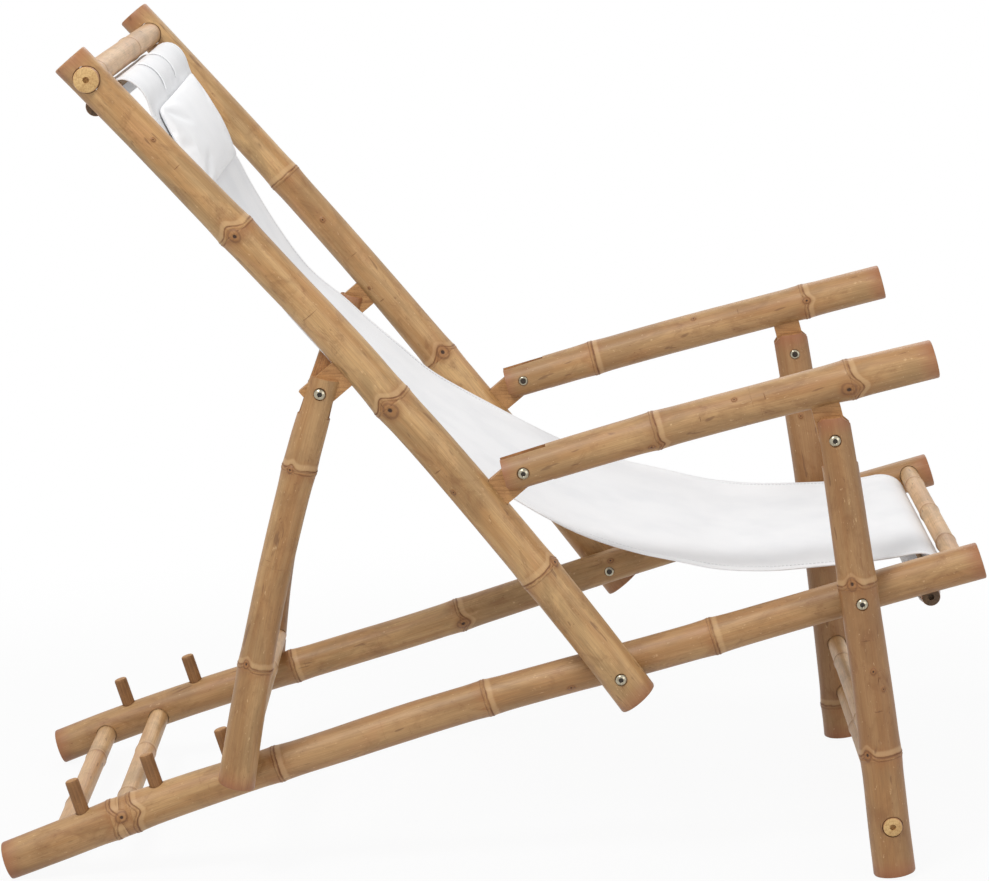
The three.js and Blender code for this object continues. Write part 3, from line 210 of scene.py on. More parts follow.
def spot(flat, y):
    """A point of the side plane, set out sideways, both in millimetres, as a point of the scene in metres."""
    return Vector((flat[0] * MM, y * MM, flat[1] * MM)) + SHIFT


# Mesh helpers
def link(name, mesh):
    made = bpy.data.objects.new(name, mesh)
    bpy.context.scene.collection.objects.link(made)
    return made


def mesh_of(name, points, faces=(), edges=()):
    mesh = bpy.data.meshes.new(name)
    mesh.from_pydata([tuple(p) for p in points], list(edges), [tuple(f) for f in faces])
    mesh.update()
    return mesh


def finished(made):
    """Turns the evaluated object into a plain mesh and takes its modifiers away."""
    bpy.context.view_layer.update()
    graph = bpy.context.evaluated_depsgraph_get()
    mesh = bpy.data.meshes.new_from_object(made.evaluated_get(graph), depsgraph=graph)
    made.modifiers.clear()
    old, made.data = made.data, mesh
    bpy.data.meshes.remove(old)
    mesh.name = made.name
    return made


def coords_of(mesh):
    co = np.empty(len(mesh.vertices) * 3, np.float32)
    mesh.vertices.foreach_get("co", co)
    return co.reshape(-1, 3).astype(float)


def of_faces(mesh, what):
    """The centre or normal of every face."""
    values = np.empty(len(mesh.polygons) * 3, np.float32)
    mesh.polygons.foreach_get(what, values)
    return values.reshape(-1, 3)


def set_coords(mesh, co):
    mesh.vertices.foreach_set("co", np.asarray(co, np.float32).ravel())
    mesh.update()


def write_attribute(mesh, name, kind, values):
    attribute = mesh.attributes.new(name, kind, "POINT")
    attribute.data.foreach_set("vector" if kind == "FLOAT_VECTOR" else "value",
                               np.asarray(values, np.float32).ravel())


def soften(mesh, angle=35):
    mesh.shade_smooth()
    mesh.set_sharp_from_angle(angle=math.radians(angle))


def socket_id(tree, name):
    return next(i.identifier for i in tree.interface.items_tree
                if i.item_type == "SOCKET" and i.in_out == "INPUT" and i.name == name)


class Flow:
    """Short names for building a node tree."""

    def __init__(self, tree):
        self.tree = tree

    def node(self, kind, inputs=None, **settings):
        made = self.tree.nodes.new(kind)
        for key, value in settings.items():
            setattr(made, key, value)
        for key, value in (inputs or {}).items():
            self.feed(made.inputs[key], value)
        return made

    def first(self, kind, inputs=None, **settings):
        """The first output of a new node."""
        return self.node(kind, inputs, **settings).outputs[0]

    def feed(self, socket, value):
        if isinstance(value, bpy.types.NodeSocket):
            self.tree.links.new(value, socket)
        elif value is not None:
            socket.default_value = value

    def math(self, operation, a, b=None, c=None, clamp=False):
        made = self.tree.nodes.new("ShaderNodeMath")
        made.operation, made.use_clamp = operation, clamp
        for index, value in enumerate((a, b, c)):
            self.feed(made.inputs[index], value)
        return made.outputs[0]

    def times(self, a, b, **settings):
        return self.math("MULTIPLY", a, b, **settings)

    def plus(self, a, b, **settings):
        return self.math("ADD", a, b, **settings)

    def minus(self, a, b):
        return self.math("SUBTRACT", a, b)

    def scaled(self, vector, scale):
        return self.vector("SCALE", vector, scale=scale)

    def vector(self, operation, a, b=None, scale=None):
        made = self.tree.nodes.new("ShaderNodeVectorMath")
        made.operation = operation
        self.feed(made.inputs[0], a)
        if b is not None:
            self.feed(made.inputs[1], b)
        if scale is not None:
            self.feed(made.inputs["Scale"], scale)
        return made.outputs["Value" if operation == "LENGTH" else "Vector"]

    def split(self, vector):
        return self.node("ShaderNodeSeparateXYZ", {0: vector}).outputs

    def join(self, x, y, z):
        return self.first("ShaderNodeCombineXYZ", {0: x, 1: y, 2: z})

    def blend(self, share, a, b):
        made = self.tree.nodes.new("ShaderNodeMix")
        made.data_type = "RGBA"
        self.feed(made.inputs[0], share)
        self.feed(made.inputs[6], a)
        self.feed(made.inputs[7], b)
        return made.outputs[2]

    def span(self, value, low, high, to_low=0.0, to_high=1.0):
        """Smooth step of a value between two limits."""
        return self.first("ShaderNodeMapRange", {0: value, 1: low, 2: high, 3: to_low, 4: to_high},
                          interpolation_type="SMOOTHSTEP")

    def noise(self, vector, detail=2.0, rough=0.5, distortion=0.0):
        return self.node("ShaderNodeTexNoise", {"Vector": vector, "Scale": 1.0, "Detail": detail,
                                                "Roughness": rough, "Distortion": distortion}).outputs["Fac"]


def tree_with(name, kind, inputs, outputs):
    """A node group with named sockets."""
    tree = bpy.data.node_groups.new(name, kind)
    for label, socket, value in inputs:
        made = tree.interface.new_socket(label, in_out="INPUT", socket_type="NodeSocket" + socket)
        if value is not None:
            made.default_value = value
    for label, socket in outputs:
        tree.interface.new_socket(label, in_out="OUTPUT", socket_type="NodeSocket" + socket)
    flow = Flow(tree)
    return flow, flow.node("NodeGroupInput").outputs, flow.node("NodeGroupOutput").inputs


def tone(red, green, blue):
    """A colour as seen in the photograph, 0 to 255, as the linear colour a node takes."""
    def linear(v):
        v /= 255
        return v / 12.92 if v <= 0.04045 else ((v + 0.055) / 1.055) ** 2.4
    return (linear(red), linear(green), linear(blue), 1)


# Shader groups
LOOK = [("Color", "Color"), ("Roughness", "Float"), ("Height", "Float")]
RIND_LIGHT, RIND_MID, RIND_DEEP = tone(216, 176, 122), tone(192, 146, 92), tone(132, 86, 46)


def bamboo_rind_group():
    flow, i, o = tree_with("bamboo rind", "ShaderNodeTree", [
        ("Place", "Vector", None), ("Joint", "Float", 1.0),
        ("Cut", "Float", 1.0), ("Knot", "Vector", None),
        ("Tone", "Float", 0.5), ("Light", "Color", RIND_LIGHT),
        ("Middle", "Color", RIND_MID), ("Deep", "Color", RIND_DEEP),
        ("Blotches", "Float", 0.5),
    ], LOOK)
    place = flow.vector("ADD", i["Place"], flow.scaled((1.7, 0.9, 1.3), i["Tone"]))

    def grain(along, across, **settings):
        """Noise drawn out along the cane, in waves per metre."""
        return flow.noise(flow.vector("MULTIPLY", place, (along, across, across)), **settings)

    def band(value, middle, outer, inner, most=1.0):
        """Full within inner of a middle value, fading to nothing at outer from it."""
        return flow.span(flow.math("ABSOLUTE", flow.minus(value, middle)), outer, inner, 0.0, most)

    # Streaks, weathered and sunned areas, dark patches, specks and flecks
    streaks = grain(5.0, 70.0, detail=4)
    fibres = grain(22.0, 1100.0, detail=3, rough=0.65)
    clouds = grain(24.0, 44.0, detail=6, rough=0.68, distortion=0.8)
    weather = grain(9.0, 26.0, detail=4, rough=0.65, distortion=0.6)
    specks = grain(140.0, 330.0, detail=3, rough=0.7)
    gouges = grain(26.0, 150.0, detail=2, rough=0.5, distortion=0.3)
    wander = flow.noise(flow.scaled(place, 110.0), detail=2)
    colour = flow.blend(flow.span(streaks, 0.38, 0.62), i["Middle"], i["Light"])

    def coat(share, red, green, blue):
        """Lays a colour over what is there, by a share."""
        nonlocal colour
        colour = flow.blend(share, colour, tone(red, green, blue))

    coat(flow.span(weather, 0.46, 0.64, 0, 0.5), 150, 122, 80)
    coat(flow.span(weather, 0.46, 0.3, 0, 0.35), 216, 160, 112)
    patches = flow.times(flow.span(clouds, 0.48, 0.78), i["Blotches"])
    colour = flow.blend(patches, colour, i["Deep"])
    colour = flow.blend(flow.times(i["Tone"], 0.5, clamp=True), colour, i["Deep"])
    dark_specks = flow.times(flow.span(specks, 0.62, 0.74), flow.span(clouds, 0.4, 0.6, 0.1, 0.6))
    coat(dark_specks, 112, 68, 38)
    coat(flow.span(specks, 0.37, 0.28, 0, 0.5), 232, 198, 150)
    coat(flow.span(fibres, 0.35, 0.7, 0.0, 0.3), 118, 78, 44)
    # A joint: a warm stain, a pale crest above it and two thin dark rings
    along = flow.plus(i["Joint"], flow.times(flow.minus(wander, 0.5), 0.0026))
    worn = flow.span(clouds, 0.35, 0.6, 0.45, 1.0)
    stain = flow.times(band(along, 0.0, 0.018, 0.002), flow.span(clouds, 0.3, 0.7))
    coat(flow.times(stain, 0.6), 160, 104, 56)
    crest = band(along, 0.006, 0.0042, 0.0012)
    coat(flow.times(crest, 0.35), 222, 186, 138)
    upper, lower = band(along, 0.0019, 0.0013, 0.0004), band(along, -0.0021, 0.0011, 0.0003)
    rings = flow.times(flow.math("MAXIMUM", flow.times(upper, 0.8), flow.times(lower, 0.5)), worn)
    coat(rings, 108, 66, 36)
    # Sawn ends take up a reddish brown stain
    edge = flow.plus(i["Cut"], flow.times(clouds, 0.02))
    coat(flow.times(flow.span(edge, 0.034, 0.009), 0.6), 150, 86, 56)
    # Branch scars: a dark dot in an orange brown eye
    scar = flow.split(i["Knot"])
    wide = flow.math("SQRT", flow.plus(flow.math("POWER", flow.times(scar[0], 0.8), 2.0),
                                       flow.math("POWER", scar[1], 2.0)))
    eye = flow.plus(wide, flow.times(flow.minus(clouds, 0.5), 0.008))
    coat(flow.span(eye, 0.012, 0.004, 0, 0.7), 150, 98, 50)
    coat(band(eye, 0.0056, 0.0016, 0.0002, 0.5), 104, 64, 34)
    pit = flow.span(wide, 0.0023, 0.0011)
    coat(pit, 62, 38, 22)
    # Short dark gouges over all
    coat(flow.span(gouges, 0.68, 0.74, 0, 0.5), 98, 60, 34)
    flow.feed(o["Color"], colour)
    rough = flow.math("MULTIPLY_ADD", streaks, 0.16, 0.42)
    rough = flow.plus(rough, flow.times(flow.math("MAXIMUM", rings, pit), 0.25), clamp=True)
    flow.feed(o["Roughness"], rough)
    height = flow.math("MULTIPLY_ADD", streaks, 0.6, flow.times(fibres, 0.25))
    height = flow.minus(height, flow.times(rings, 0.8))
    height = flow.minus(height, flow.times(pit, 1.6))
    height = flow.plus(height, flow.span(wide, 0.009, 0.003, 0, 1.2))
    flow.feed(o["Height"], height)
    return flow.tree


def sawn_wood_group():
    flow, i, o = tree_with("sawn wood", "ShaderNodeTree", [
        ("Place", "Vector", None), ("Colour", "Color", tone(214, 176, 132)),
        ("Vein", "Color", tone(150, 98, 58)), ("Grain Length", "Float", 30.0),
    ], LOOK)
    stretched = flow.join(i["Grain Length"], 500.0, 500.0)
    lines = flow.noise(flow.vector("MULTIPLY", i["Place"], stretched), detail=3, rough=0.6)
    spots = flow.noise(flow.scaled(i["Place"], 900.0), detail=1)
    broad = flow.noise(flow.scaled(i["Place"], 60.0), detail=3)
    colour = flow.blend(flow.span(lines, 0.4, 0.72, 0, 0.6), i["Colour"], i["Vein"])
    colour = flow.blend(flow.span(spots, 0.58, 0.7, 0, 0.45), colour, i["Vein"])
    colour = flow.blend(flow.span(broad, 0.4, 0.7, 0, 0.35), colour, i["Vein"])
    flow.feed(o["Color"], colour)
    flow.feed(o["Roughness"], flow.math("MULTIPLY_ADD", lines, 0.2, 0.5))
    flow.feed(o["Height"], flow.minus(lines, flow.times(spots, 0.5)))
    return flow.tree


def woven_cotton_group():
    flow, i, o = tree_with("woven cotton", "ShaderNodeTree", [
        ("Place", "Vector", None), ("Threads", "Float", 950.0),
        ("Colour", "Color", tone(244, 244, 245)), ("Shade", "Color", tone(222, 223, 226)),
    ], LOOK)
    at = flow.split(flow.scaled(i["Place"], i["Threads"]))
    warp = flow.math("SINE", flow.times(at[0], math.pi))
    weft = flow.math("SINE", flow.times(at[1], math.pi))
    lumps = flow.noise(flow.scaled(i["Place"], 220.0), detail=3)
    over = flow.times(warp, weft)
    soft = flow.noise(flow.scaled(i["Place"], 14.0), detail=3)
    # Soft broad patches and the dips of the weave turn towards the Shade colour; in the dips this is painted
    # shade between the threads
    shade = flow.plus(flow.span(soft, 0.35, 0.75, 0, 0.4), flow.span(over, 0.2, -0.9, 0, 0.3))
    flow.feed(o["Color"], flow.blend(shade, i["Colour"], i["Shade"]))
    flow.feed(o["Roughness"], flow.math("MULTIPLY_ADD", lumps, 0.1, 0.82))
    flow.feed(o["Height"], flow.math("MULTIPLY_ADD", over, 0.5, flow.times(lumps, 0.7)))
    return flow.tree


def worn_metal_group():
    flow, i, o = tree_with("worn metal", "ShaderNodeTree", [
        ("Place", "Vector", None), ("Colour", "Color", tone(212, 190, 140)),
        ("Dull", "Color", tone(120, 96, 60)),
    ], LOOK)
    scuffs = flow.noise(flow.scaled(i["Place"], 1400.0), detail=4, rough=0.6)
    cloud = flow.noise(flow.scaled(i["Place"], 300.0), detail=2)
    flow.feed(o["Color"], flow.blend(flow.span(cloud, 0.45, 0.75, 0, 0.6), i["Colour"], i["Dull"]))
    flow.feed(o["Roughness"], flow.math("MULTIPLY_ADD", scuffs, 0.25, 0.12))
    flow.feed(o["Height"], scuffs)
    return flow.tree


rind_group, wood_group = bamboo_rind_group(), sawn_wood_group()
cotton_group, metal_group = woven_cotton_group(), worn_metal_group()


def attribute_socket(flow, name, output):
    return flow.node("ShaderNodeAttribute", attribute_name=name, attribute_type="GEOMETRY").outputs[output]


def material(name, group, inputs, bump, distance, **principled):
    """A material that hands a group's colour, roughness and height to the surface shader."""
    made = bpy.data.materials.new(name)
    made.use_nodes = True
    tree = made.node_tree
    tree.nodes.clear()
    flow = Flow(tree)
    look = flow.node("ShaderNodeGroup")
    look.node_tree = group
    for key, value in inputs(flow).items():
        flow.feed(look.inputs[key], value)
    relief = flow.node("ShaderNodeBump", {"Strength": bump, "Distance": distance,
                                          "Height": look.outputs["Height"]})
    shader = flow.node("ShaderNodeBsdfPrincipled", {
        "Base Color": look.outputs["Color"], "Roughness": look.outputs["Roughness"],
        "Normal": relief.outputs[0],
    })
    for key, value in principled.items():
        shader.inputs[key.replace("_", " ").title()].default_value = value
    flow.feed(flow.node("ShaderNodeOutputMaterial").inputs["Surface"], shader.outputs[0])
    return made


def cane_place(flow):
    return attribute_socket(flow, "cane_place", "Vector")


def own_place(flow):
    return flow.node("ShaderNodeTexCoord").outputs["Object"]


def cloth_place(flow):
    return flow.first("ShaderNodeUVMap", uv_map="cloth")


def bamboo(name, light, middle, deep, blotches, bump, distance):
    """Rind, by the attributes that dress writes on a cane."""
    return material(name, rind_group, lambda flow: {
        "Place": cane_place(flow), "Joint": attribute_socket(flow, "cane_joint", "Fac"),
        "Cut": attribute_socket(flow, "cane_cut", "Fac"), "Knot": attribute_socket(flow, "cane_knot", "Vector"),
        "Tone": attribute_socket(flow, "cane_tone", "Fac"), "Light": light, "Middle": middle, "Deep": deep,
        "Blotches": blotches,
    }, bump, distance, coat_weight=0.1, coat_roughness=0.35)


def wood(name, colour, vein, grain_length, bump=0.3, distance=0.0004, place=cane_place):
    return material(name, wood_group, lambda flow: {
        "Place": place(flow), "Colour": tone(*colour), "Vein": tone(*vein), "Grain Length": grain_length,
    }, bump, distance)


def cotton(name, threads, colour, shade, bump, distance, place=cloth_place, **principled):
    return material(name, cotton_group, lambda flow: {
        "Place": place(flow), "Threads": threads, "Colour": tone(*colour), "Shade": tone(*shade),
    }, bump, distance, **principled)


def metal(name, colour, dull, metallic):
    return material(name, metal_group, lambda flow: {
        "Place": own_place(flow), "Colour": tone(*colour), "Dull": tone(*dull),
    }, 0.08, 0.0002, metallic=metallic)


rind = bamboo("bamboo rind", RIND_LIGHT, RIND_MID, RIND_DEEP, 0.75, 0.7, 0.001)
thin_rind = bamboo("thin bamboo rind", tone(226, 188, 138), tone(208, 164, 112), tone(158, 108, 64),
                   0.4, 0.3, 0.0005)
sawn_end = wood("sawn bamboo", (186, 136, 86), (112, 66, 38), 60.0, 0.4, 0.0005)
pale_end = wood("pale sawn bamboo", (216, 180, 122), (160, 112, 62), 60.0)
# Near black ends for the two canvas rods: painted shade where their ends lie in shadow
painted_shade_end = wood("sawn bamboo painted shade", (104, 78, 50), (52, 36, 24), 60.0, 0.4, 0.0005)
tongue_wood = wood("tongue wood", (186, 138, 86), (128, 84, 48), 40.0, place=own_place)
peg_wood = wood("peg wood", (150, 106, 62), (104, 68, 36), 26.0)
peg_top = wood("peg top", (190, 144, 94), (138, 92, 52), 200.0)
canvas_cotton = cotton("canvas cotton", 950.0, (246, 246, 247), (228, 229, 232), 0.35, 0.0004,
                       sheen_weight=0.15)
pillow_cotton = cotton("pillow cotton", 1200.0, (250, 250, 251), (238, 239, 241), 0.3, 0.0003,
                       sheen_weight=0.2)
thread_cotton = cotton("stitching thread", 2500.0, (226, 226, 228), (190, 191, 195), 0.3, 0.0002,
                       place=own_place)
bolt_metal = metal("bolt metal", (176, 168, 148), (98, 84, 64), 1.0)
# Near black metal for the bolt heads' sockets and the shanks' ends: painted shade, as dark as a hole in shadow
socket_painted_shade = metal("bolt socket painted shade", (58, 48, 38), (28, 24, 20), 0.3)


# Turned pieces
# The unevenness of a cane, in waves per metre
WAVES_ALONG, WAVES_ACROSS = 9.0, 26.0


def turning_tree():
    """Geometry nodes: turns a drawn outline about its axis, bows it and makes it a little uneven."""
    flow, i, o = tree_with("turned cane", "GeometryNodeTree", [
        ("Outline", "Geometry", None), ("Sides", "Int", 48),
        ("Length", "Float", 1.0), ("Bow", "Float", 0.0),
        ("Unevenness", "Float", 0.0), ("Seed", "Float", 0.0),
        ("Surface", "Material", None),
    ], [("Mesh", "Geometry")])
    outline = flow.first("GeometryNodeMeshToCurve", {"Mesh": i["Outline"]})
    ring = flow.first("GeometryNodeCurvePrimitiveCircle", {"Resolution": i["Sides"], "Radius": 1.0})
    swept = flow.first("GeometryNodeCurveToMesh", {"Curve": ring, "Profile Curve": outline})
    at = flow.split(flow.node("GeometryNodeInputPosition").outputs[0])
    # Along the cane, across it, and up: the sweep turns about Z
    along, across, up = at[2], at[0], at[1]
    share = flow.math("DIVIDE", along, i["Length"])
    lift = flow.times(flow.times(share, flow.minus(1.0, share)), flow.times(i["Bow"], 4.0))
    waves = flow.join(flow.times(along, WAVES_ALONG), flow.times(across, WAVES_ACROSS),
                      flow.times(up, WAVES_ACROSS))
    seeded = flow.vector("ADD", waves, flow.join(i["Seed"], i["Seed"], i["Seed"]))
    lumps = flow.minus(flow.noise(seeded, detail=2), 0.5)
    grow = flow.math("MULTIPLY_ADD", lumps, i["Unevenness"], 1.0)
    placed = flow.join(along, flow.times(across, grow), flow.plus(flow.times(up, grow), lift))
    moved = flow.first("GeometryNodeSetPosition", {"Geometry": swept, "Position": placed})
    welded = flow.first("GeometryNodeMergeByDistance", {"Geometry": moved, "Distance": 0.000002})
    smooth = flow.first("GeometryNodeSetShadeSmooth", {"Geometry": welded})
    real = flow.first("GeometryNodeRealizeInstances", {"Geometry": smooth})
    coated = flow.first("GeometryNodeSetMaterial", {"Geometry": real, "Material": i["Surface"]})
    flow.feed(o["Mesh"], coated)
    return flow.tree


turning = turning_tree()


def turn(name, outline, sides, surface, length=1.0, bow=0.0, uneven=0.0, seed=0.0):
    """Turns an outline of (place, radius) points, in millimetres, into a mesh along +X, in metres."""
    points = [(radius * MM - 1, -place * MM, 0) for place, radius in outline]
    made = link(name, mesh_of(name, points, edges=[(n, n + 1) for n in range(len(points) - 1)]))
    step = made.modifiers.new("turning", "NODES")
    step.node_group = turning
    for label, value in (("Sides", sides), ("Length", float(length * MM)), ("Bow", float(bow * MM)),
                         ("Unevenness", float(uneven)), ("Seed", float(seed)), ("Surface", surface)):
        step[socket_id(turning, label)] = value
    return finished(made)


def facing_out(mesh):
    """Whether a closed mesh has its faces pointing outwards, by its signed volume."""
    mesh.calc_loop_triangles()
    co = coords_of(mesh)
    corners = np.empty(len(mesh.loop_triangles) * 3, np.int32)
    mesh.loop_triangles.foreach_get("vertices", corners)
    a, b, c = (co[corners.reshape(-1, 3)[:, n]] for n in range(3))
    return np.einsum("ij,ij->i", a, np.cross(b, c)).sum() > 0


def turn_out(mesh):
    if not facing_out(mesh):
        mesh.flip_normals()


CHAMFER, PITH_RADIUS, PITH_DEPTH = 1.9, 3.3, 5
RIDGE_HALF_WIDTH, SWELL_HALF_WIDTH = 2.6, 13
RIDGE_STEPS = (0, 0.6, 1.4, 2.4, 3.5, 5, 7)


def outline_of(length, start, end, joints, ridge, step):
    """Outline of a cane: sawn ends with a pith hole, and a low ridge on a wide swell at each joint."""
    places = set(np.round(np.linspace(CHAMFER, length - CHAMFER, max(4, round(length / step))), 3))
    for joint in joints:
        places = {p for p in places if abs(p - joint) > RIDGE_STEPS[-1] + 1}
        places |= {joint + way * d for d in RIDGE_STEPS for way in (-1, 1)}
    rows = []
    for p in sorted(q for q in places if CHAMFER < q < length - CHAMFER):
        radius = mix(start, end, p / length)
        for joint in joints:
            d = (p - joint) / RIDGE_HALF_WIDTH
            radius += ridge * math.exp(-d * d) * (1 - 0.75 * math.exp(-(d * 3.2) ** 2))
            radius += ridge * 0.8 * math.exp(-((p - joint) / SWELL_HALF_WIDTH) ** 2)
        rows.append((p, radius))
    ends = []
    for radius in (start, end):
        ends.append([(PITH_DEPTH, 0), (PITH_DEPTH, PITH_RADIUS), (0, PITH_RADIUS), (0, radius - CHAMFER),
                     (CHAMFER * 0.3, radius - CHAMFER * 0.3), (CHAMFER, radius)])
    return ends[0] + rows + [(length - p, radius) for p, radius in reversed(ends[1])]


def basis(start, end, sideways=False):
    """Axes with X from start to end, Z up and Y across."""
    along = (end - start).normalized()
    if sideways:
        across = Vector((-1, 0, 0))
    else:
        across = (Vector((0, 1, 0)) - along * along.y).normalized()
    up = along.cross(across)
    return Matrix.Translation(start) @ Matrix((along, across, up)).transposed().to_4x4()


# Cutters. Each reaches CUT_PAST beyond the wood that it takes away
CUT_PAST, DRILL_SIDES, FLOOR_BLOCK = 3, 48, 400
HEAD_CUT_REACH, NUT_CUT_REACH = 6.2, 5.4


def cutter(name, shape, place):
    """A cutter from a bmesh operator call, put in place."""
    mesh = bpy.data.meshes.new(name)
    bm = bmesh.new()
    shape(bm)
    bm.transform(place)
    bm.to_mesh(mesh)
    bm.free()
    return link(name, mesh)


def drill(radius, flat, low, high):
    """A round cutter along Y, in millimetres."""
    return cutter("drill", lambda bm: bmesh.ops.create_cone(
        bm, cap_ends=True, segments=DRILL_SIDES, radius1=radius * MM, radius2=radius * MM,
        depth=(high - low) * MM,
    ), Matrix.Translation(spot(flat, (low + high) / 2)) @ Matrix.Rotation(math.pi / 2, 4, "X"))


def saw(start, along, length, height, y, thickness):
    """A block cutter in the side plane: it starts at a point and runs along a direction."""
    middle = start + along * (length / 2)
    return cutter("saw", lambda bm: bmesh.ops.create_cube(
        bm, size=1, matrix=Matrix.Diagonal((length * MM, thickness * MM, height * MM, 1)),
    ), Matrix.Translation(spot(middle, y)) @ Matrix.Rotation(-math.atan2(along.y, along.x), 4, "Y"))


def floor_saw():
    """Everything that the floor has worn off."""
    start = Vector((-FLOOR_BLOCK, -FLOOR_BLOCK / 2))
    return saw(start, Vector((1, 0)), FLOOR_BLOCK * 6, FLOOR_BLOCK, 0, FLOOR_BLOCK * 3)


def cut(made, cutters):
    if not cutters:
        return
    group = bpy.data.collections.new("cutters")
    for tool in cutters:
        group.objects.link(tool)
    step = made.modifiers.new("cuts", "BOOLEAN")
    step.operation, step.operand_type = "DIFFERENCE", "COLLECTION"
    step.solver, step.collection = "EXACT", group
    finished(made)
    for tool in cutters:
        old = tool.data
        bpy.data.objects.remove(tool)
        bpy.data.meshes.remove(old)
    bpy.data.collections.remove(group)


def along_y(side, start, end):
    """Two distances out from the middle, on one side, in rising order of Y."""
    return sorted((side["sign"] * start, side["sign"] * end))


def bolt_cutters(side, pivot, outer, inner):
    """The bolt's hole, and the seats of its head and its nut."""
    return [drill(radius, pivot, *along_y(side, start, end)) for radius, start, end in (
        (BOLT_RADIUS + FIT_GAP, inner - CUT_PAST, outer + CUT_PAST),
        (BOLT_HEAD_RADIUS + SEAT_MARGIN, outer - SEAT_DEPTH, outer + HEAD_CUT_REACH),
        (NUT_RADIUS + SEAT_MARGIN, inner - NUT_CUT_REACH, inner + SEAT_DEPTH),
    )]


# Canes and bars
# How each grown cane departs from a plain one. Joints and knots give places from its start in millimetres.
# A knot adds its angle round the cane, where 0 faces the right side and 90 its own upper side, and its size.
# Lean is the drift of the axis and girth the extra half thickness in the side plane, by shares of its length.
NATURE = {
    "rail_right": dict(
        joints=(126, 149, 314, 550, 800), knots=((138, 12, 0.9), (640, -30, 0.5), (962, 40, 0.6)),
        lean=((0, 0), (0.05, 0.8), (0.1, 2.2), (0.2, 3.4), (0.27, 3), (0.35, 1.7), (0.44, 1.6), (0.52, 0.4),
              (0.58, -1.6), (0.66, -5), (0.72, -5.7), (0.8, -5), (0.9, -3.7), (1, -2.2)),
        girth=((0, 1.3), (0.06, 2.1), (0.2, 1.6), (0.3, 0.1), (0.38, 0.8), (0.55, 0.8), (0.72, 1.4),
               (0.82, 1.1), (0.93, 2), (1, 2.1))),
    "rail_left": dict(
        joints=(300, 508, 826), knots=((510, -20, 1.0), (233, 20, 0.4), (700, 30, 0.5)),
        lean=((0, 1.5), (0.06, 3.4), (0.14, 3.6), (0.24, 1), (0.32, -1.8), (0.4, -4.2), (0.5, -4.4), (0.6, -3),
              (0.8, -1.2), (1, 0)),
        girth=((0, 0.8), (0.3, 0.7), (0.6, 0.9), (0.85, 1.4), (1, 2))),
    "back_pole_right": dict(
        joints=(172, 412, 651),
        knots=((649, 4, 1.0), (409, 10, 1.15), (173, -64, 0.7), (777, -20, 0.35), (300, 35, 0.4)),
        lean=((0, 2.2), (0.1, 1.3), (0.3, 1.3), (0.42, 1.9), (0.46, 2.8), (0.52, 1.5), (0.6, 1.2), (0.66, 2.2),
              (0.73, 2.6), (0.8, 2.8), (0.88, 2.3), (1, 1.2)),
        girth=((0, 1.5), (0.2, 1.8), (0.4, 1.7), (0.5, 1.4), (0.62, 0.5), (0.72, 1), (0.86, 0.1),
               (0.93, 0.6), (1, 1.1))),
    "back_pole_left": dict(
        joints=(160, 350, 634), knots=((355, -22, 1.2), (728, 40, 0.6), (567, -6, 0.45), (470, 30, 0.3)),
        lean=((0, 2.4), (0.2, 2.4), (0.4, 1), (0.5, 0), (1, 0)),
        girth=((0, 2), (0.2, 2), (0.38, 1.2), (0.5, 0.4), (1, 0.4))),
    "armrest_right": dict(
        joints=(168, 376), knots=((372, -18, 1.1), (160, -40, 0.5), (255, 40, 0.35)),
        lean=((0, 0), (0.3, 0.3), (0.7, -0.4), (1, 0)),
        girth=((0, 0), (0.36, 0.4), (0.6, 0.1), (0.8, 0.9), (1, 0.3))),
    "armrest_left": dict(
        joints=(113, 372), knots=((375, 10, 0.6), (240, 50, 0.4)),
        lean=((0, -1.6), (0.4, -1.2), (0.8, -0.4), (1, 1.4)),
        girth=((0, 0.6), (0.5, 0.6), (1, 0.2))),
    "leg_right": dict(
        joints=(131, 317), knots=((322, 18, 0.9), (136, 42, 0.8), (226, -6, 0.5), (205, -30, 0.4)),
        lean=((0, -4), (0.08, -3), (0.2, -2.6), (0.4, -2.4), (0.6, -1.2), (0.75, -1.2), (0.9, -1.8), (1, -1.8)),
        girth=((0, 0.6), (0.27, 1), (0.4, 0.7), (0.64, 1.1), (0.8, 0.9), (1, 0.9))),
    "leg_left": dict(
        joints=(40,), knots=((400, 10, 0.4),),
        lean=((0, 1), (0.3, 1.2), (0.6, 0.8), (0.9, 1.4), (1, 1.6)),
        girth=((0, 0.6), (0.5, 0.6), (0.85, 1.2), (1, 1.6))),
    "prop_strut_right": dict(
        joints=(133, 353), knots=((138, 30, 0.6), (353, 30, 0.5)),
        lean=((0, 0), (0.5, 0), (0.75, -0.6), (1, 0)),
        girth=((0, 0.6), (0.2, 0.2), (0.4, 0), (0.6, 0.6), (0.74, 1.4), (0.8, 1.8), (0.9, 1), (1, 0.6))),
    "prop_strut_left": dict(
        joints=(150, 340), knots=(),
        lean=((0, 2), (0.2, 5), (0.5, 5.5), (0.8, 2), (1, 0)), girth=((0, 0), (1, 0))),
}
PLAIN = dict(joints=(), knots=(), lean=((0, 0), (1, 0)), girth=((0, 0), (1, 0)))


def eased(rows, share):
    """A smooth line through (share, value) rows."""
    s, v = np.array(rows, float).T
    slope = np.gradient(v, s)
    share = np.clip(share, 0, 1)
    k = np.clip(np.searchsorted(s, share, side="right") - 1, 0, len(s) - 2)
    h = s[k + 1] - s[k]
    t = (share - s[k]) / h
    return ((2 * t ** 3 - 3 * t ** 2 + 1) * v[k] + (t ** 3 - 2 * t ** 2 + t) * h * slope[k]
            + (3 * t ** 2 - 2 * t ** 3) * v[k + 1] + (t ** 3 - t ** 2) * h * slope[k + 1])


def sway(mesh, length, start, end, nature):
    """Gives a turned cane its own lean and girth in the side plane."""
    co = coords_of(mesh)
    share = co[:, 0] / (length * MM)
    co[:, 2] *= 1 + eased(nature["girth"], share) / mix(start, end, np.clip(share, 0, 1))
    co[:, 2] += eased(nature["lean"], share) * MM
    set_coords(mesh, co)


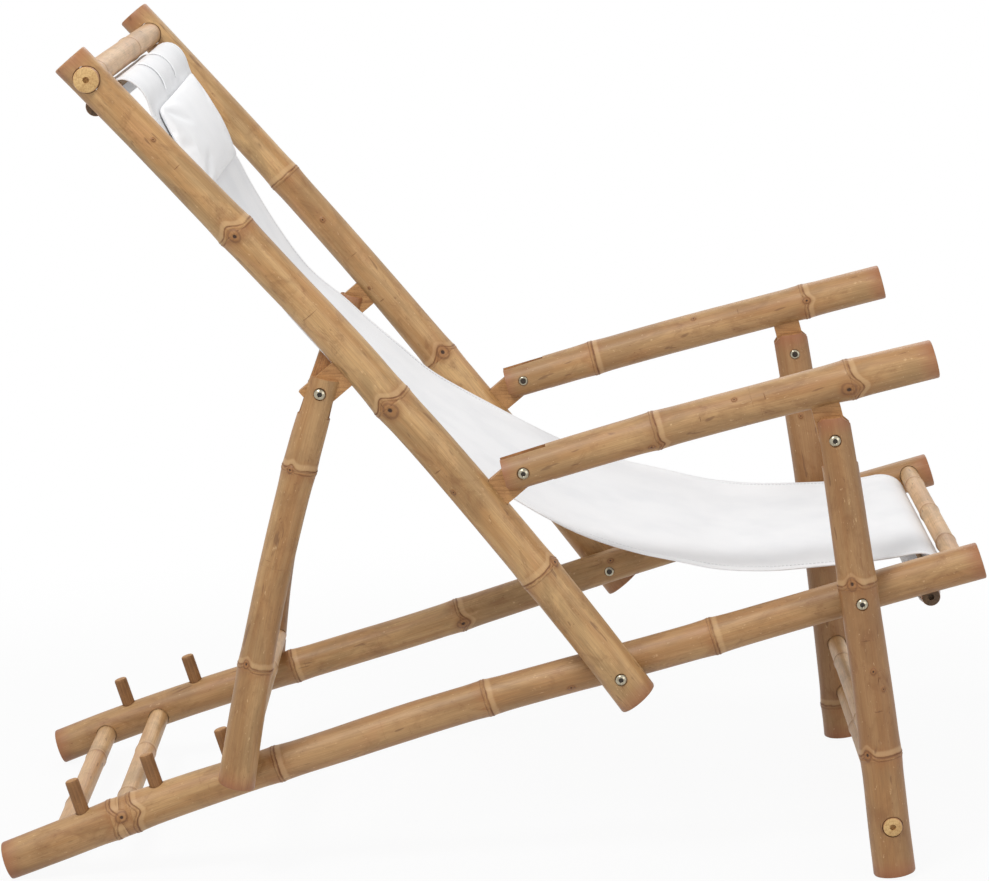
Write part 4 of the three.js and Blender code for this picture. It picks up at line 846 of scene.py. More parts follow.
FAR_AWAY = 1000.0
KNOT_REACH, SWERVE, SWERVE_HALF_WIDTH = 14, 9, 8
SAWN_FACING, SAWN_GIRTH, SAWN_SPARE = 0.6, 0.94, 0.3


def turned_from(around, angle):
    """Degrees from an angle, between -180 and 180."""
    return (around - angle + 180) % 360 - 180


def joint_offsets(along, around, radius, nature):
    """Distance along the cane to the nearest joint, whose ring swerves round a knot that sits on it."""
    nearest = np.full(len(along), FAR_AWAY)
    for joint in nature["joints"]:
        off = along - joint
        for eye, angle, size in nature["knots"]:
            if abs(eye - joint) < KNOT_REACH:
                arc = np.radians(turned_from(around, angle)) * radius
                off = off - SWERVE * size * np.exp(-(arc / (SWERVE_HALF_WIDTH * size)) ** 2)
        nearest = np.where(np.abs(off) < np.abs(nearest), off, nearest)
    return nearest


def knot_offsets(along, around, girth, nature):
    """Distances along and round the cane to the nearest knot, in units of its size."""
    nearest = np.full((len(along), 3), FAR_AWAY)
    best = np.full(len(along), np.inf)
    for knot, angle, size in nature["knots"]:
        off = np.stack([along - knot, np.radians(turned_from(around, angle)) * girth,
                        np.zeros(len(along))], 1) / size
        distance = np.hypot(off[:, 0], off[:, 1])
        closer = distance < best
        nearest[closer], best[closer] = off[closer], distance[closer]
    return nearest


def tones_between_joints(along, length, nature, shade):
    """Each length between two joints has a tone of its own."""
    draw = np.random.default_rng(round(length * 7 + shade * 100))
    marks = np.array([0, *nature["joints"], length])
    tones = shade + draw.uniform(-0.3, 0.3, len(marks))
    return tones[np.clip(np.searchsorted(marks, along) - 1, 0, len(marks) - 1)]


def dress(made, matrix, length, start, end, bow, nature, shade, surfaces):
    """Gives a cane its own coordinates, its distances to joints, ends and knots, and its sawn faces."""
    mesh = made.data
    turn_out(mesh)
    inverse = np.array(matrix.inverted())

    def straight(points):
        """Points in the cane's own axes, in millimetres, without its bow, lean and girth."""
        at = (points @ inverse[:3, :3].T + inverse[:3, 3]) / MM
        share = np.clip(at[:, 0] / length, 0, 1)
        at[:, 2] -= bow_at(bow, share) + eased(nature["lean"], share)
        at[:, 2] /= 1 + eased(nature["girth"], share) / mix(start, end, share)
        return at

    at = straight(coords_of(mesh))
    along, girth = at[:, 0], np.hypot(at[:, 1], at[:, 2])
    around = np.degrees(np.arctan2(at[:, 2], -at[:, 1]))
    for name, kind, values in (
        ("cane_place", "FLOAT_VECTOR", at * MM),
        ("cane_joint", "FLOAT", joint_offsets(along, around, start, nature) * MM),
        ("cane_cut", "FLOAT", np.minimum(along, length - along) * MM),
        ("cane_knot", "FLOAT_VECTOR", knot_offsets(along, around, girth, nature) * MM),
        ("cane_tone", "FLOAT", tones_between_joints(along, length, nature, shade)),
    ):
        write_attribute(mesh, name, kind, values)
    mesh.materials.clear()
    for surface in surfaces:
        mesh.materials.append(surface)
    # A face that looks along the cane, or lies under the rind, is sawn
    centre = straight(of_faces(mesh, "center"))
    normal = of_faces(mesh, "normal") @ inverse[:3, :3].T
    girth = np.hypot(centre[:, 1], centre[:, 2])
    outward = (centre[:, 1] * normal[:, 1] + centre[:, 2] * normal[:, 2]) / np.maximum(girth, 1e-6)
    expected = mix(start, end, np.clip(centre[:, 0] / length, 0, 1))
    sawn = (outward < SAWN_FACING) | (girth < expected * SAWN_GIRTH - SAWN_SPARE)
    mesh.polygons.foreach_set("material_index", sawn.astype(np.int32))
    soften(mesh, 38)
    mesh.update()


def cane(name, body, start, end, length, radii, bow=0, cutters=(), shade=0.5, nature=None,
         surfaces=(rind, sawn_end), sideways=False, sides=56, uneven=0.04, step=7.0, ridge=0.9):
    """A cane or bar from start to end, both in metres: turned, swayed, cut and dressed in place of its node."""
    node = name.removesuffix("_cane").removesuffix("_bar")
    nature = nature or NATURE[node]
    matrix = basis(start, end, sideways)
    seed = sum(map(ord, name)) * 0.37
    made = turn(name, outline_of(length, *radii, nature["joints"], ridge, step), sides, surfaces[0],
                length, bow, uneven, seed)
    sway(made.data, length, *radii, nature)
    made.data.transform(matrix)
    turn_out(made.data)
    cut(made, list(cutters))
    dress(made, matrix, length, *radii, bow, nature, shade, surfaces)
    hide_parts(node)
    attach(made, body)


# Where the bars lie, and where the bolts start and end
rear_rungs = [(place, on_rail(place, REAR_RUNG_LIFT)) for place in REAR_RUNG_PLACES]
front_bar = on_rail(FRONT_BAR_PLACE, FRONT_BAR_LIFT)
front_rod = on_rail(FRONT_ROD_PLACE, -(rail_radius(FRONT_ROD_PLACE)
                                       - bow_at(LEFT["rail_bow"], FRONT_ROD_PLACE / RAIL_LENGTH)
                                       + FRONT_ROD_RADIUS + FIT_GAP))
top_bar, top_rod = on_pole(TOP_BAR_PLACE), on_pole(TOP_ROD_PLACE, -TOP_ROD_BEHIND)
top_bar_reach = pole_spread(TOP_BAR_PLACE) + pole_radius(TOP_BAR_PLACE) + TOP_BAR_PROUD
leg_rung_low, leg_rung_high = on_leg(*LEG_RUNG_LOW), on_leg(*LEG_RUNG_HIGH)



def across_cane(spread, radius):
    """The outer and inner face of a cane, from the middle of the chair."""
    return spread + radius, spread - radius


back_bolt = (POLE_PIVOT_SPREAD + pole_radius(0), rail_spread(BACK_PIVOT_PLACE) - rail_radius(BACK_PIVOT_PLACE))
arm_bolt = across_cane(arm_spread(0), arm_radius(0))


def leg_rung_reach(side):
    return LEG_SPREAD + leg_radius(side, LEG_RUNG_LOW[0]) + LEG_RUNG_PROUD


def leg_bolt(side):
    return (LEG_SPREAD + leg_radius(side, LEG_PIVOT_REACH),
            rail_spread(LEG_PIVOT_PLACE) - rail_radius(LEG_PIVOT_PLACE))


def open_bolt(side):
    return across_cane(LEG_SPREAD, leg_radius(side, LEG_LENGTH - LEG_FORK_DEPTH / 2))


def prop_bolt(side):
    return across_cane(prop_top_spread, prop_radius(side, PROP_SPAN))


# The dark lines round what is let into a cane: the play of a bar's hole and of a tongue's pocket
HOLE_PLAY, POCKET_PLAY = 0.7, 1.2
TONGUE_WIDTH, LEG_TONGUE_WIDTH, TONGUE_ROOT, POCKET_PAST_PIVOT = 31, 30, 17, 20
ARM_SAW, LEG_SAW, STRUT_SAW = 57, 58, 46
STRUT_BLOCK, ARM_BLOCK, ARM_BLOCK_HEIGHT = 120, 30, 70
HALF_TURN = math.sqrt(0.5)


def fork_saw(start, along, depth, y, height):
    return saw(start, along, depth, height, y, TONGUE_THICKNESS + FORK_SIDE_GAP * 2)


def tongue_slot(start, pivot, width, y):
    """Pocket for a tongue's root."""
    along = (pivot - start).normalized()
    return saw(start, along, (pivot - start).length + POCKET_PAST_PIVOT, width + POCKET_PLAY, y,
               TONGUE_THICKNESS + POCKET_PLAY)


def blind_hole(side, radius, at, spread):
    """The hole that a bar's end sits in."""
    return drill(radius + HOLE_PLAY, at, *along_y(side, 0, spread + SOCKET_PAST_AXIS + 1))


def peg_seat(side, number):
    """Place along the rail, height of the rail's crown there, and distance out, of a peg."""
    place = FIRST_PEG_PLACE + (number - 1) * PEG_STEP
    crown = bow_at(side["rail_bow"], place / RAIL_LENGTH) + rail_radius(place)
    return place, crown, side["sign"] * rail_spread(place)


def peg_hole(side, number):
    place, crown, y = peg_seat(side, number)
    floor, mouth = crown - PEG_DEPTH - PEG_HOLE_SPARE, crown + PEG_HOLE_MOUTH
    radius, depth = PEG_RADIUS + HOLE_PLAY, mouth - floor
    hole = turn("peg_hole", [(0, 0), (0, radius), (depth, radius), (depth, 0)], 32, rind)
    hole.data.transform(basis(spot(on_rail(place, floor), y), spot(on_rail(place, mouth), y)))
    turn_out(hole.data)
    return hole


def end_at(side, on_piece, spread, place):
    """A point of a cane's axis."""
    return spot(on_piece(place), side["sign"] * spread(place))


def build_rail(side):
    cutters = [floor_saw()]
    cutters += [blind_hole(side, REAR_RUNG_RADIUS, at, rail_spread(place)) for place, at in rear_rungs]
    cutters.append(blind_hole(side, FRONT_BAR_RADIUS, front_bar, rail_spread(FRONT_BAR_PLACE)))
    cutters += bolt_cutters(side, back_pivot, *back_bolt) + bolt_cutters(side, leg_pivot, *leg_bolt(side))
    cutters += [peg_hole(side, number + 1) for number in range(PEG_PAIRS)]
    cane(f"rail_{side['name']}_cane", "base_frame", end_at(side, on_rail, rail_spread, 0),
         end_at(side, on_rail, rail_spread, RAIL_LENGTH), RAIL_LENGTH, RAIL_RADII, side["rail_bow"],
         cutters, shade=0.75)


def build_pole(side):
    rod_end = pole_spread(TOP_ROD_PLACE) + FIT_GAP
    cutters = [drill(TOP_BAR_RADIUS + HOLE_PLAY, top_bar, *along_y(side, 0, top_bar_reach + CUT_PAST)),
               drill(TOP_ROD_RADIUS + HOLE_PLAY, top_rod, *along_y(side, 0, rod_end))]
    for place, ahead in ((ARM_PIVOT_PLACE, ARM_PIVOT_OUT), (PROP_PIVOT_PLACE, -PROP_PIVOT_BEHIND)):
        way = math.copysign(1, ahead)
        root = (bow_at(side["pole_bow"], (place + POLE_TAIL) / POLE_LENGTH)
                - way * (TONGUE_ROOT - pole_radius(place)))
        cutters.append(tongue_slot(on_pole(place, root - way), on_pole(place, ahead), TONGUE_WIDTH,
                                   side["sign"] * pole_spread(place)))
    cutters += bolt_cutters(side, back_pivot, *back_bolt)
    reach = side["pole_reach"]
    cane(f"back_pole_{side['name']}_cane", "back_frame", end_at(side, on_pole, pole_spread, -POLE_TAIL),
         end_at(side, on_pole, pole_spread, reach), POLE_TAIL + reach, POLE_RADII, -side["pole_bow"],
         cutters, shade=0.35)


def build_arm(side):
    y = side["sign"]
    fork_y = y * arm_spread(0)
    heel_turn, heel_out = (arm_along - arm_up) * -HALF_TURN, (arm_along + arm_up) * -HALF_TURN
    heel = (on_arm(-ARM_TAIL, -ARM_RADII[0]) + heel_turn * (-ARM_HEEL_CUT * 2)
            + heel_out * (ARM_HEEL_CUT * 2 - ARM_HEEL_CUT * HALF_TURN) + heel_turn * -ARM_HEEL_TRIM)
    root = (bow_at(ARM_BOW, (ARM_TONGUE_PLACE + ARM_TAIL) / ARM_LENGTH) - arm_radius(ARM_TONGUE_PLACE)
            + TONGUE_ROOT)
    tail = on_arm(-ARM_TAIL - ARM_BLOCK)
    cutters = [
        fork_saw(on_arm(-ARM_TAIL - CUT_PAST), arm_along, ARM_FORK_DEPTH + CUT_PAST, fork_y, ARM_SAW),
        saw(heel, heel_turn, ARM_HEEL_CUT * 4, ARM_HEEL_CUT * 4, fork_y, ARM_SAW),
        saw(tail, arm_along, ARM_BLOCK + ARM_TAIL_TRIM, ARM_BLOCK_HEIGHT, fork_y, ARM_SAW),
        tongue_slot(on_arm(ARM_TONGUE_PLACE, root + 1), open_pivot, LEG_TONGUE_WIDTH, y * LEG_SPREAD),
    ] + bolt_cutters(side, arm_pivot, *arm_bolt)
    cane(f"armrest_{side['name']}_cane", f"arm_{side['name']}", end_at(side, on_arm, arm_spread, -ARM_TAIL),
         end_at(side, on_arm, arm_spread, ARM_REACH), ARM_LENGTH, ARM_RADII, ARM_BOW, cutters, shade=0.75)


def shoulder_saw(side, way):
    corner = on_leg(LEG_LENGTH, way * side["leg_top"])
    inward = (leg_ahead * way + leg_along) * HALF_TURN
    start = corner - inward * (LEG_SHOULDER_CUT * HALF_TURN)
    return saw(start, inward, LEG_SHOULDER_CUT * 4, LEG_SHOULDER_CUT * 8, side["sign"] * LEG_SPREAD, LEG_SAW)


def build_leg(side):
    y = side["sign"] * LEG_SPREAD
    cutters = [
        floor_saw(),
        fork_saw(on_leg(LEG_LENGTH - LEG_FORK_DEPTH), leg_along, LEG_FORK_DEPTH + CUT_PAST, y, LEG_SAW),
        shoulder_saw(side, 1), shoulder_saw(side, -1),
        drill(LEG_RUNG_RADIUS + HOLE_PLAY, leg_rung_low, *along_y(side, 0, leg_rung_reach(side) + CUT_PAST)),
        blind_hole(side, LEG_RUNG_RADIUS, leg_rung_high, LEG_SPREAD),
    ] + bolt_cutters(side, leg_pivot, *leg_bolt(side)) + bolt_cutters(side, open_pivot, *open_bolt(side))
    cane(f"leg_{side['name']}_cane", "leg_frame", spot(on_leg(0), y), spot(on_leg(LEG_LENGTH), y), LEG_LENGTH,
         (side["leg_foot"], side["leg_top"]), -LEG_BOW, cutters, shade=1.35)


def build_strut(side):
    length, sign, bow = prop_length(side), side["sign"], side["prop_bow"]
    draw = bow_at(bow, (PROP_SPAN + PROP_TAIL) / length) / PROP_SPAN
    y = sign * prop_top_spread

    def chord(place):
        return spot(on_prop(place, draw * place), sign * prop_spread(place))

    pole_back = (bow_at(side["pole_bow"], (PROP_PIVOT_PLACE + POLE_TAIL) / POLE_LENGTH)
                 - pole_radius(PROP_PIVOT_PLACE))
    face = on_pole(PROP_PIVOT_PLACE, pole_back - PROP_TOP_CLEARANCE)
    cheek = on_prop(PROP_SPAN + PROP_CHEEK_REACH)
    half = STRUT_BLOCK / 2
    cutters = [
        fork_saw(on_prop(PROP_SPAN - PROP_FORK_BELOW), prop_along,
                 PROP_FORK_BELOW + side["prop_top_reach"] + CUT_PAST, y, STRUT_SAW),
        saw(face - pole_along * half + pole_ahead * half, pole_along, STRUT_BLOCK, STRUT_BLOCK, y, STRUT_BLOCK),
        saw(cheek, prop_along, STRUT_BLOCK, STRUT_BLOCK, y + sign * half, STRUT_BLOCK),
        blind_hole(side, PROP_RUNG_RADIUS, prop_rung, PROP_LOW_SPREAD),
    ] + bolt_cutters(side, prop_pivot, *prop_bolt(side))
    cane(f"prop_strut_{side['name']}_cane", "prop_frame", chord(-PROP_TAIL),
         chord(PROP_SPAN + side["prop_top_reach"]), length, (side["prop_low"], PROP_TOP_RADIUS), bow,
         cutters, shade=0.95)


for each in SIDES:
    build_rail(each)
    build_pole(each)
    build_arm(each)
    build_leg(each)
    build_strut(each)


def bar(name, body, radius, at, reach, joints, end=pale_end):
    """A straight bar across the chair, with joints at shares of its length. Its reach may differ by side."""
    right, left = reach if isinstance(reach, tuple) else (reach, reach)
    length = right + left
    cane(f"{name}_bar", body, spot(at, -right), spot(at, left), length, (radius, radius), shade=0.35,
         nature=dict(PLAIN, joints=[joint * length for joint in joints]), surfaces=(thin_rind, end),
         sideways=True, sides=40, uneven=0.03, step=12.0, ridge=0.6)


for number, ((place, at), joints) in enumerate(zip(rear_rungs, ((0.31, 0.72), (0.24, 0.63))), 1):
    bar(f"rear_rung_{number}", "base_frame", REAR_RUNG_RADIUS, at,
        rail_spread(place) + SOCKET_PAST_AXIS, joints)
bar("front_crossbar", "base_frame", FRONT_BAR_RADIUS, front_bar,
    rail_spread(FRONT_BAR_PLACE) + SOCKET_PAST_AXIS, (0.2, 0.52, 0.83))
# The canvas rods' ends are painted shade
bar("canvas_front_rod", "base_frame", FRONT_ROD_RADIUS, front_rod,
    rail_spread(FRONT_ROD_PLACE) - FRONT_ROD_SHORT, (0.4, 0.75), painted_shade_end)
bar("leg_rung_low", "leg_frame", LEG_RUNG_RADIUS, leg_rung_low,
    (leg_rung_reach(RIGHT), leg_rung_reach(LEFT)), (0.28, 0.66))
bar("leg_rung_high", "leg_frame", LEG_RUNG_RADIUS, leg_rung_high, LEG_SPREAD + SOCKET_PAST_AXIS, (0.35, 0.8))
bar("prop_rung", "prop_frame", PROP_RUNG_RADIUS, prop_rung, PROP_LOW_SPREAD + SOCKET_PAST_AXIS, (0.3, 0.7))
bar("canvas_top_rod", "back_frame", TOP_ROD_RADIUS, top_rod, pole_spread(TOP_ROD_PLACE), (0.3, 0.7), painted_shade_end)
bar("top_crossbar", "back_frame", TOP_BAR_RADIUS, top_bar, top_bar_reach, (0.12, 0.6))


def build_peg(side, number):
    place, crown, y = peg_seat(side, number)
    length = PEG_DEPTH + side["peg_height"]
    outline = [(0, 0), (0, PEG_RADIUS - 1.2), (1.2, PEG_RADIUS)]
    outline += [(p, PEG_RADIUS) for p in np.linspace(6, length - 4, 14)]
    outline += [(length - 1.6, PEG_RADIUS - 0.1), (length - 0.6, PEG_RADIUS - 0.7),
                (length, PEG_RADIUS - 1.7), (length, 0)]
    name = f"peg_{number}_{side['name']}"
    matrix = basis(spot(on_rail(place, crown - PEG_DEPTH), y),
                   spot(on_rail(place, crown + side["peg_height"]), y))
    made = turn(f"{name}_wood", outline, 36, peg_wood, length, 0, 0.05, number * 3.1 + side["sign"])
    made.data.transform(matrix)
    dress(made, matrix, length, PEG_RADIUS, PEG_RADIUS, 0, PLAIN, 0.5, (peg_wood, peg_top))
    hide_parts(name)
    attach(made, "base_frame")


for each in SIDES:
    for number in range(1, PEG_PAIRS + 1):
        build_peg(each, number)


# Bolts and cap nuts
def bolt_outline(length):
    """Shank, domed head and socket."""
    height, radius, socket = BOLT_HEAD_HEIGHT, BOLT_HEAD_RADIUS, BOLT_SOCKET_RADIUS
    dome = [(height * math.sin(a), radius * math.cos(a)) for a in np.linspace(0, 1.12, 9)]
    return ([(-length, 0), (-length, BOLT_RADIUS), (0, BOLT_RADIUS), (0, radius - 0.2)] + dome
            + [(height * 0.88, socket), (height * 0.84, socket - 0.2), (height - 2.4, socket - 0.4),
               (height - 2.6, 0)])


def nut_outline():
    half = NUT_THICKNESS / 2
    return [(-half, NUT_BORE), (-half, NUT_RADIUS - 0.3), (-half + 0.3, NUT_RADIUS), (half - 1.1, NUT_RADIUS),
            (half - 0.4, NUT_RADIUS - 0.5), (half, NUT_RADIUS - 1.3), (half, NUT_BORE), (-half, NUT_BORE)]


def fasten(name, side, pivot, outer, inner, body):
    """A bolt and its cap nut, each sunk in its seat."""
    head, seat = outer - SEAT_DEPTH + FIT_GAP, inner + SEAT_DEPTH - FIT_GAP
    sign = side["sign"]
    for kind, outline, at, way in (("bolt", bolt_outline(head - seat + NUT_THICKNESS * 0.7), head, sign),
                                   ("nut", nut_outline(), seat - NUT_THICKNESS / 2, -sign)):
        made = turn(f"{name}_{kind}_{side['name']}_metal", outline, 32, bolt_metal)
        # The second material is painted shade, for the socket in the head and for the shank's end face
        made.data.materials.append(socket_painted_shade)
        for face in made.data.polygons:
            inside = math.hypot(face.center.y, face.center.z) < BOLT_SOCKET_RADIUS * MM
            if kind == "bolt" and inside and (face.center.x > 0 or abs(face.normal.x) > 0.5):
                face.material_index = 1
        middle = spot(pivot, sign * at)
        made.data.transform(Matrix.Translation(middle) @ Matrix.Rotation(way * math.pi / 2, 4, "Z"))
        turn_out(made.data)
        soften(made.data, 30)
        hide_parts(f"{name}_{kind}_{side['name']}")
        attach(made, body)


for each in SIDES:
    fasten("back_pivot", each, back_pivot, *back_bolt, "base_frame")
    fasten("leg_pivot", each, leg_pivot, *leg_bolt(each), "base_frame")
    fasten("arm_pivot", each, arm_pivot, *arm_bolt, f"arm_{each['name']}")
    fasten("leg_top", each, open_pivot, *open_bolt(each), "leg_frame")
    fasten("prop_pivot", each, prop_pivot, *prop_bolt(each), "prop_frame")

for node, made in frame["nodes"].items():
    if "tongue" in node:
        made.data.materials.clear()
        made.data.materials.append(tongue_wood)


# Canvas
# Places of its middle line, as shares of the rail's length along it and over it, then of the pole's
SEAT_SHARES = (
    (0.964, -0.0105), (0.9645, -0.0025), (0.962, 0.0045), (0.9557, 0.0115), (0.9459, 0.0165),
    (0.9255, 0.0195), (0.9038, 0.0233), (0.8417, 0.0387), (0.8004, 0.0507), (0.7621, 0.066),
)
BEND_SHARES = ((0.7205, 0.0895), (0.6856, 0.1101), (0.6312, 0.1513))
BACK_SHARES = (
    (0.3023, 0.017), (0.3626, -0.0015), (0.4127, -0.0095), (0.4739, -0.0186), (0.5102, -0.0217),
    (0.5699, -0.0265), (0.6267, -0.0235), (0.6791, -0.0175), (0.7096, -0.013), (0.7374, -0.007),
    (0.7662, -0.0035), (0.8133, 0.0056), (0.8587, 0.0175), (0.8769, 0.0248), (0.8913, 0.0262),
    (0.9038, 0.0222), (0.911, 0.0142), (0.9125, 0.0052), (0.9115, -0.004),
)
seat_line = [on_rail(a * RAIL_LENGTH, u * RAIL_LENGTH) for a, u in SEAT_SHARES]
bend_line = [on_rail(a * RAIL_LENGTH, u * RAIL_LENGTH) for a, u in BEND_SHARES]
back_line = [on_pole(a * POLE_LENGTH, u * POLE_LENGTH) for a, u in BACK_SHARES]
ROLLS = ((front_rod.x, back_line[3].x, SEAT_ROLL), (back_line[3].x, back_line[10].x, MIDDLE_ROLL),
         (back_line[10].x, top_rod.x, TOP_ROLL))

# How far the cloth and its hem lie off the axis of their rod, and the angles of the hem's turn round it
CLOTH_OFF_AXIS, HEM_OFF_AXIS, HEM_TURN = 11.3, 11.4, np.linspace(0.25, 5.6, 30)
# The side hem's width and seam from the edge, and how far the seam stops short of the sheet's ends
HEM_WIDTH, HEM_SEAM, SEAM_END = 15.5, 13, 60
# Half the thickness of the sheet and of its bare edge, what a hem adds to it and what its seam takes
SHEET_HALF, EDGE_HALF, HEM_EXTRA, SEAM_DIP = 0.65, 0.45, 0.45, 0.4
# Behind the pivots the sheet lies a little nearer the right side, as in the photograph
CANVAS_OFF = -6
CLOTH_STEP, PILLOW_STEP, TAPE_STEP = 5.0, 1.0, 3.0


def on_rim(rod, towards):
    return rod + (towards - rod).normalized() * CLOTH_OFF_AXIS


def spline(points, step):
    """Centripetal Catmull-Rom line through points, resampled to even steps."""
    p = [np.array(q, float) for q in points]
    p = [2 * p[0] - p[1]] + p + [2 * p[-1] - p[-2]]
    dense = []
    for a, b, c, d in zip(p, p[1:], p[2:], p[3:]):
        t0 = 0.0
        t1 = t0 + np.linalg.norm(b - a) ** 0.5
        t2 = t1 + np.linalg.norm(c - b) ** 0.5
        t3 = t2 + np.linalg.norm(d - c) ** 0.5
        for t in np.linspace(t1, t2, 24, endpoint=False):
            ab = (t1 - t) / (t1 - t0) * a + (t - t0) / (t1 - t0) * b
            bc = (t2 - t) / (t2 - t1) * b + (t - t1) / (t2 - t1) * c
            cd = (t3 - t) / (t3 - t2) * c + (t - t2) / (t3 - t2) * d
            abc = (t2 - t) / (t2 - t0) * ab + (t - t0) / (t2 - t0) * bc
            bcd = (t3 - t) / (t3 - t1) * bc + (t - t1) / (t3 - t1) * cd
            dense.append((t2 - t) / (t2 - t1) * abc + (t - t1) / (t2 - t1) * bcd)
    dense.append(p[-2])
    dense = np.array(dense)
    run = np.concatenate([[0], np.cumsum(np.linalg.norm(np.diff(dense, axis=0), axis=1))])
    even = np.linspace(0, run[-1], max(2, round(run[-1] / step)) + 1)
    return np.stack([np.interp(even, run, dense[:, k]) for k in range(2)], 1)


def loop_round(rod, start_at, way):
    """The hem's turn round a rod, from the sheet's own end back to its seam."""
    start = math.atan2(start_at[1] - rod.y, start_at[0] - rod.x)
    return [np.array(rod) + HEM_OFF_AXIS * np.array((math.cos(start + way * a), math.sin(start + way * a)))
            for a in HEM_TURN]


def rolled(x, side):
    """How much one edge of the cloth rises and the other sinks, at a place along the chair."""
    rise = 0.0
    for front, back, size in ROLLS:
        share = np.clip((x - back) / (front - back), 0, 1)
        rise = rise + size * side * np.sin(np.pi * share) ** 2
    return rise


def laid(y, x):
    """The sideways place of a point of the cloth, with its drift behind the pivots."""
    share = np.clip((seat_line[-1].x - x) / (seat_line[-1].x - back_line[2].x), 0, 1)
    return y + CANVAS_OFF * share * share * (3 - 2 * share)


def side_normals(line):
    step = np.gradient(line, axis=0)
    step /= np.linalg.norm(step, axis=1)[:, None]
    return np.stack([-step[:, 1], step[:, 0]], 1)


front_end, back_end = on_rim(front_rod, seat_line[0]), on_rim(top_rod, back_line[-1])
sheet_line = spline([front_end] + seat_line + bend_line + back_line + [back_end], CLOTH_STEP)
front_hem = np.array(loop_round(front_rod, front_end, -1))[::-1]
top_hem = np.array(loop_round(top_rod, back_end, 1))
cloth_line = np.concatenate([front_hem, sheet_line[1:-1], top_hem])
cloth_run = np.concatenate([[0], np.cumsum(np.linalg.norm(np.diff(cloth_line, axis=0), axis=1))])
CLOTH_LENGTH = float(cloth_run[-1])


def off_cloth(line, off, side):
    """Points that stand off a line of the side plane, with the roll of the cloth: their x and z."""
    normals = side_normals(line)
    return (line[:, :1] + normals[:, :1] * off,
            line[:, 1:] + normals[:, 1:] * off + rolled(line[:, :1], side))


def closed_faces(rows, cols):
    """Faces of two grids of points, one over the other, closed all round their edges."""
    under = rows * cols
    faces = []
    for r in range(rows - 1):
        for c in range(cols - 1):
            a, b = r * cols + c, r * cols + c + 1
            d, e = b + cols, a + cols
            faces += [(a, e, d, b), (under + a, under + b, under + d, under + e)]
        first, last = r * cols, r * cols + cols - 1
        faces += [(first, under + first, under + first + cols, first + cols),
                  (last, last + cols, under + last + cols, under + last)]
    for c in range(cols - 1):
        last = (rows - 1) * cols + c
        faces += [(c, c + 1, under + c + 1, under + c), (last, under + last, under + last + 1, last + 1)]
    return faces


def place_of(x, y, z):
    """Millimetres of the chair as points of the scene."""
    return np.stack([x, y, z], -1).reshape(-1, 3) * MM + np.array(SHIFT)


def sew(name, layers, across, run, cotton, smooth_under):
    """A sheet from its two layers of points, with its flat pattern, in millimetres, as UV map."""
    rows, cols = len(run), len(across)
    made = link(name, mesh_of(name, np.concatenate(layers), closed_faces(rows, cols)))
    turn_out(made.data)
    flat = np.stack(np.broadcast_arrays(across[None, :], run[:, None]), 2).reshape(-1, 2)
    lay_uv(made.data, np.concatenate([flat, flat]) * MM)
    made.data.materials.append(cotton)
    soften(made.data, smooth_under)
    return made


def lay_uv(mesh, flat):
    layer = mesh.uv_layers.new(name="cloth")
    corners = np.empty(len(mesh.loops), np.int32)
    mesh.loops.foreach_get("vertex_index", corners)
    layer.data.foreach_set("uv", flat[corners].astype(np.float32).ravel())


def soft_noise(shape, cells, seed):
    """Smooth noise on a grid, from a coarse grid of seeded random numbers."""
    rng = np.random.default_rng(seed)
    coarse = rng.normal(size=(cells[0] + 3, cells[1] + 3))

    def weights(count, size):
        t = np.linspace(0, size, count)
        k = np.minimum(t.astype(int), size - 1)
        f = t - k
        cubic = np.stack([(1 - f) ** 3, 3 * f ** 3 - 6 * f ** 2 + 4,
                          -3 * f ** 3 + 3 * f ** 2 + 3 * f + 1, f ** 3])
        return k, cubic / 6

    i, wi = weights(shape[0], cells[0])
    j, wj = weights(shape[1], cells[1])
    out = np.zeros(shape)
    for a in range(4):
        for b in range(4):
            out += wi[a][:, None] * wj[b][None, :] * coarse[np.ix_(i + a, j + b)]
    return out


def build_canvas():
    hem_columns = [way * (1 - d / CANVAS_HALF_WIDTH) for way in (-1, 1)
                   for d in (0.6, 1.5, 11, 12.2, 13, 13.8, 15, 16)]
    across = np.unique(np.concatenate([np.linspace(-1, 1, 61), hem_columns]))
    grid = len(cloth_line), len(across)
    share = np.linspace(0, 1, grid[0])
    creases = soft_noise(grid, (14, 9), 5) * 1.0 + soft_noise(grid, (60, 12), 8) * 0.35
    # The cloth is drawn into narrow folds where it is pulled over the rods, and lies smooth round them
    near_rods = np.exp(-((share - 0.06) / 0.05) ** 2) + np.exp(-((share - 0.93) / 0.04) ** 2)
    tug = soft_noise(grid, (4, 46), 11) * near_rods[:, None]
    calm = np.clip(np.minimum(cloth_run, CLOTH_LENGTH - cloth_run) / 90 - 0.75, 0, 1)[:, None]
    ripple = (creases * 0.8 + tug * 0.7) * calm
    edge = CANVAS_HALF_WIDTH * (1 - np.abs(across))
    hem = np.clip((HEM_WIDTH - edge) / 1.5, 0, 1)
    seam = np.exp(-((edge - HEM_SEAM) / 0.7) ** 2)
    thick = SHEET_HALF + HEM_EXTRA * hem - SEAM_DIP * seam
    thick[edge < 1.0] = EDGE_HALF
    y = across * CANVAS_HALF_WIDTH
    layers = []
    for way in (1, -1):
        x, z = off_cloth(cloth_line, ripple + way * thick[None, :], across[None, :])
        layers.append(place_of(x, laid(y, x), z))
    return sew("canvas_sling", layers, y, cloth_run, canvas_cotton, 60)


def blend_cloth(made):
    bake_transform(made)


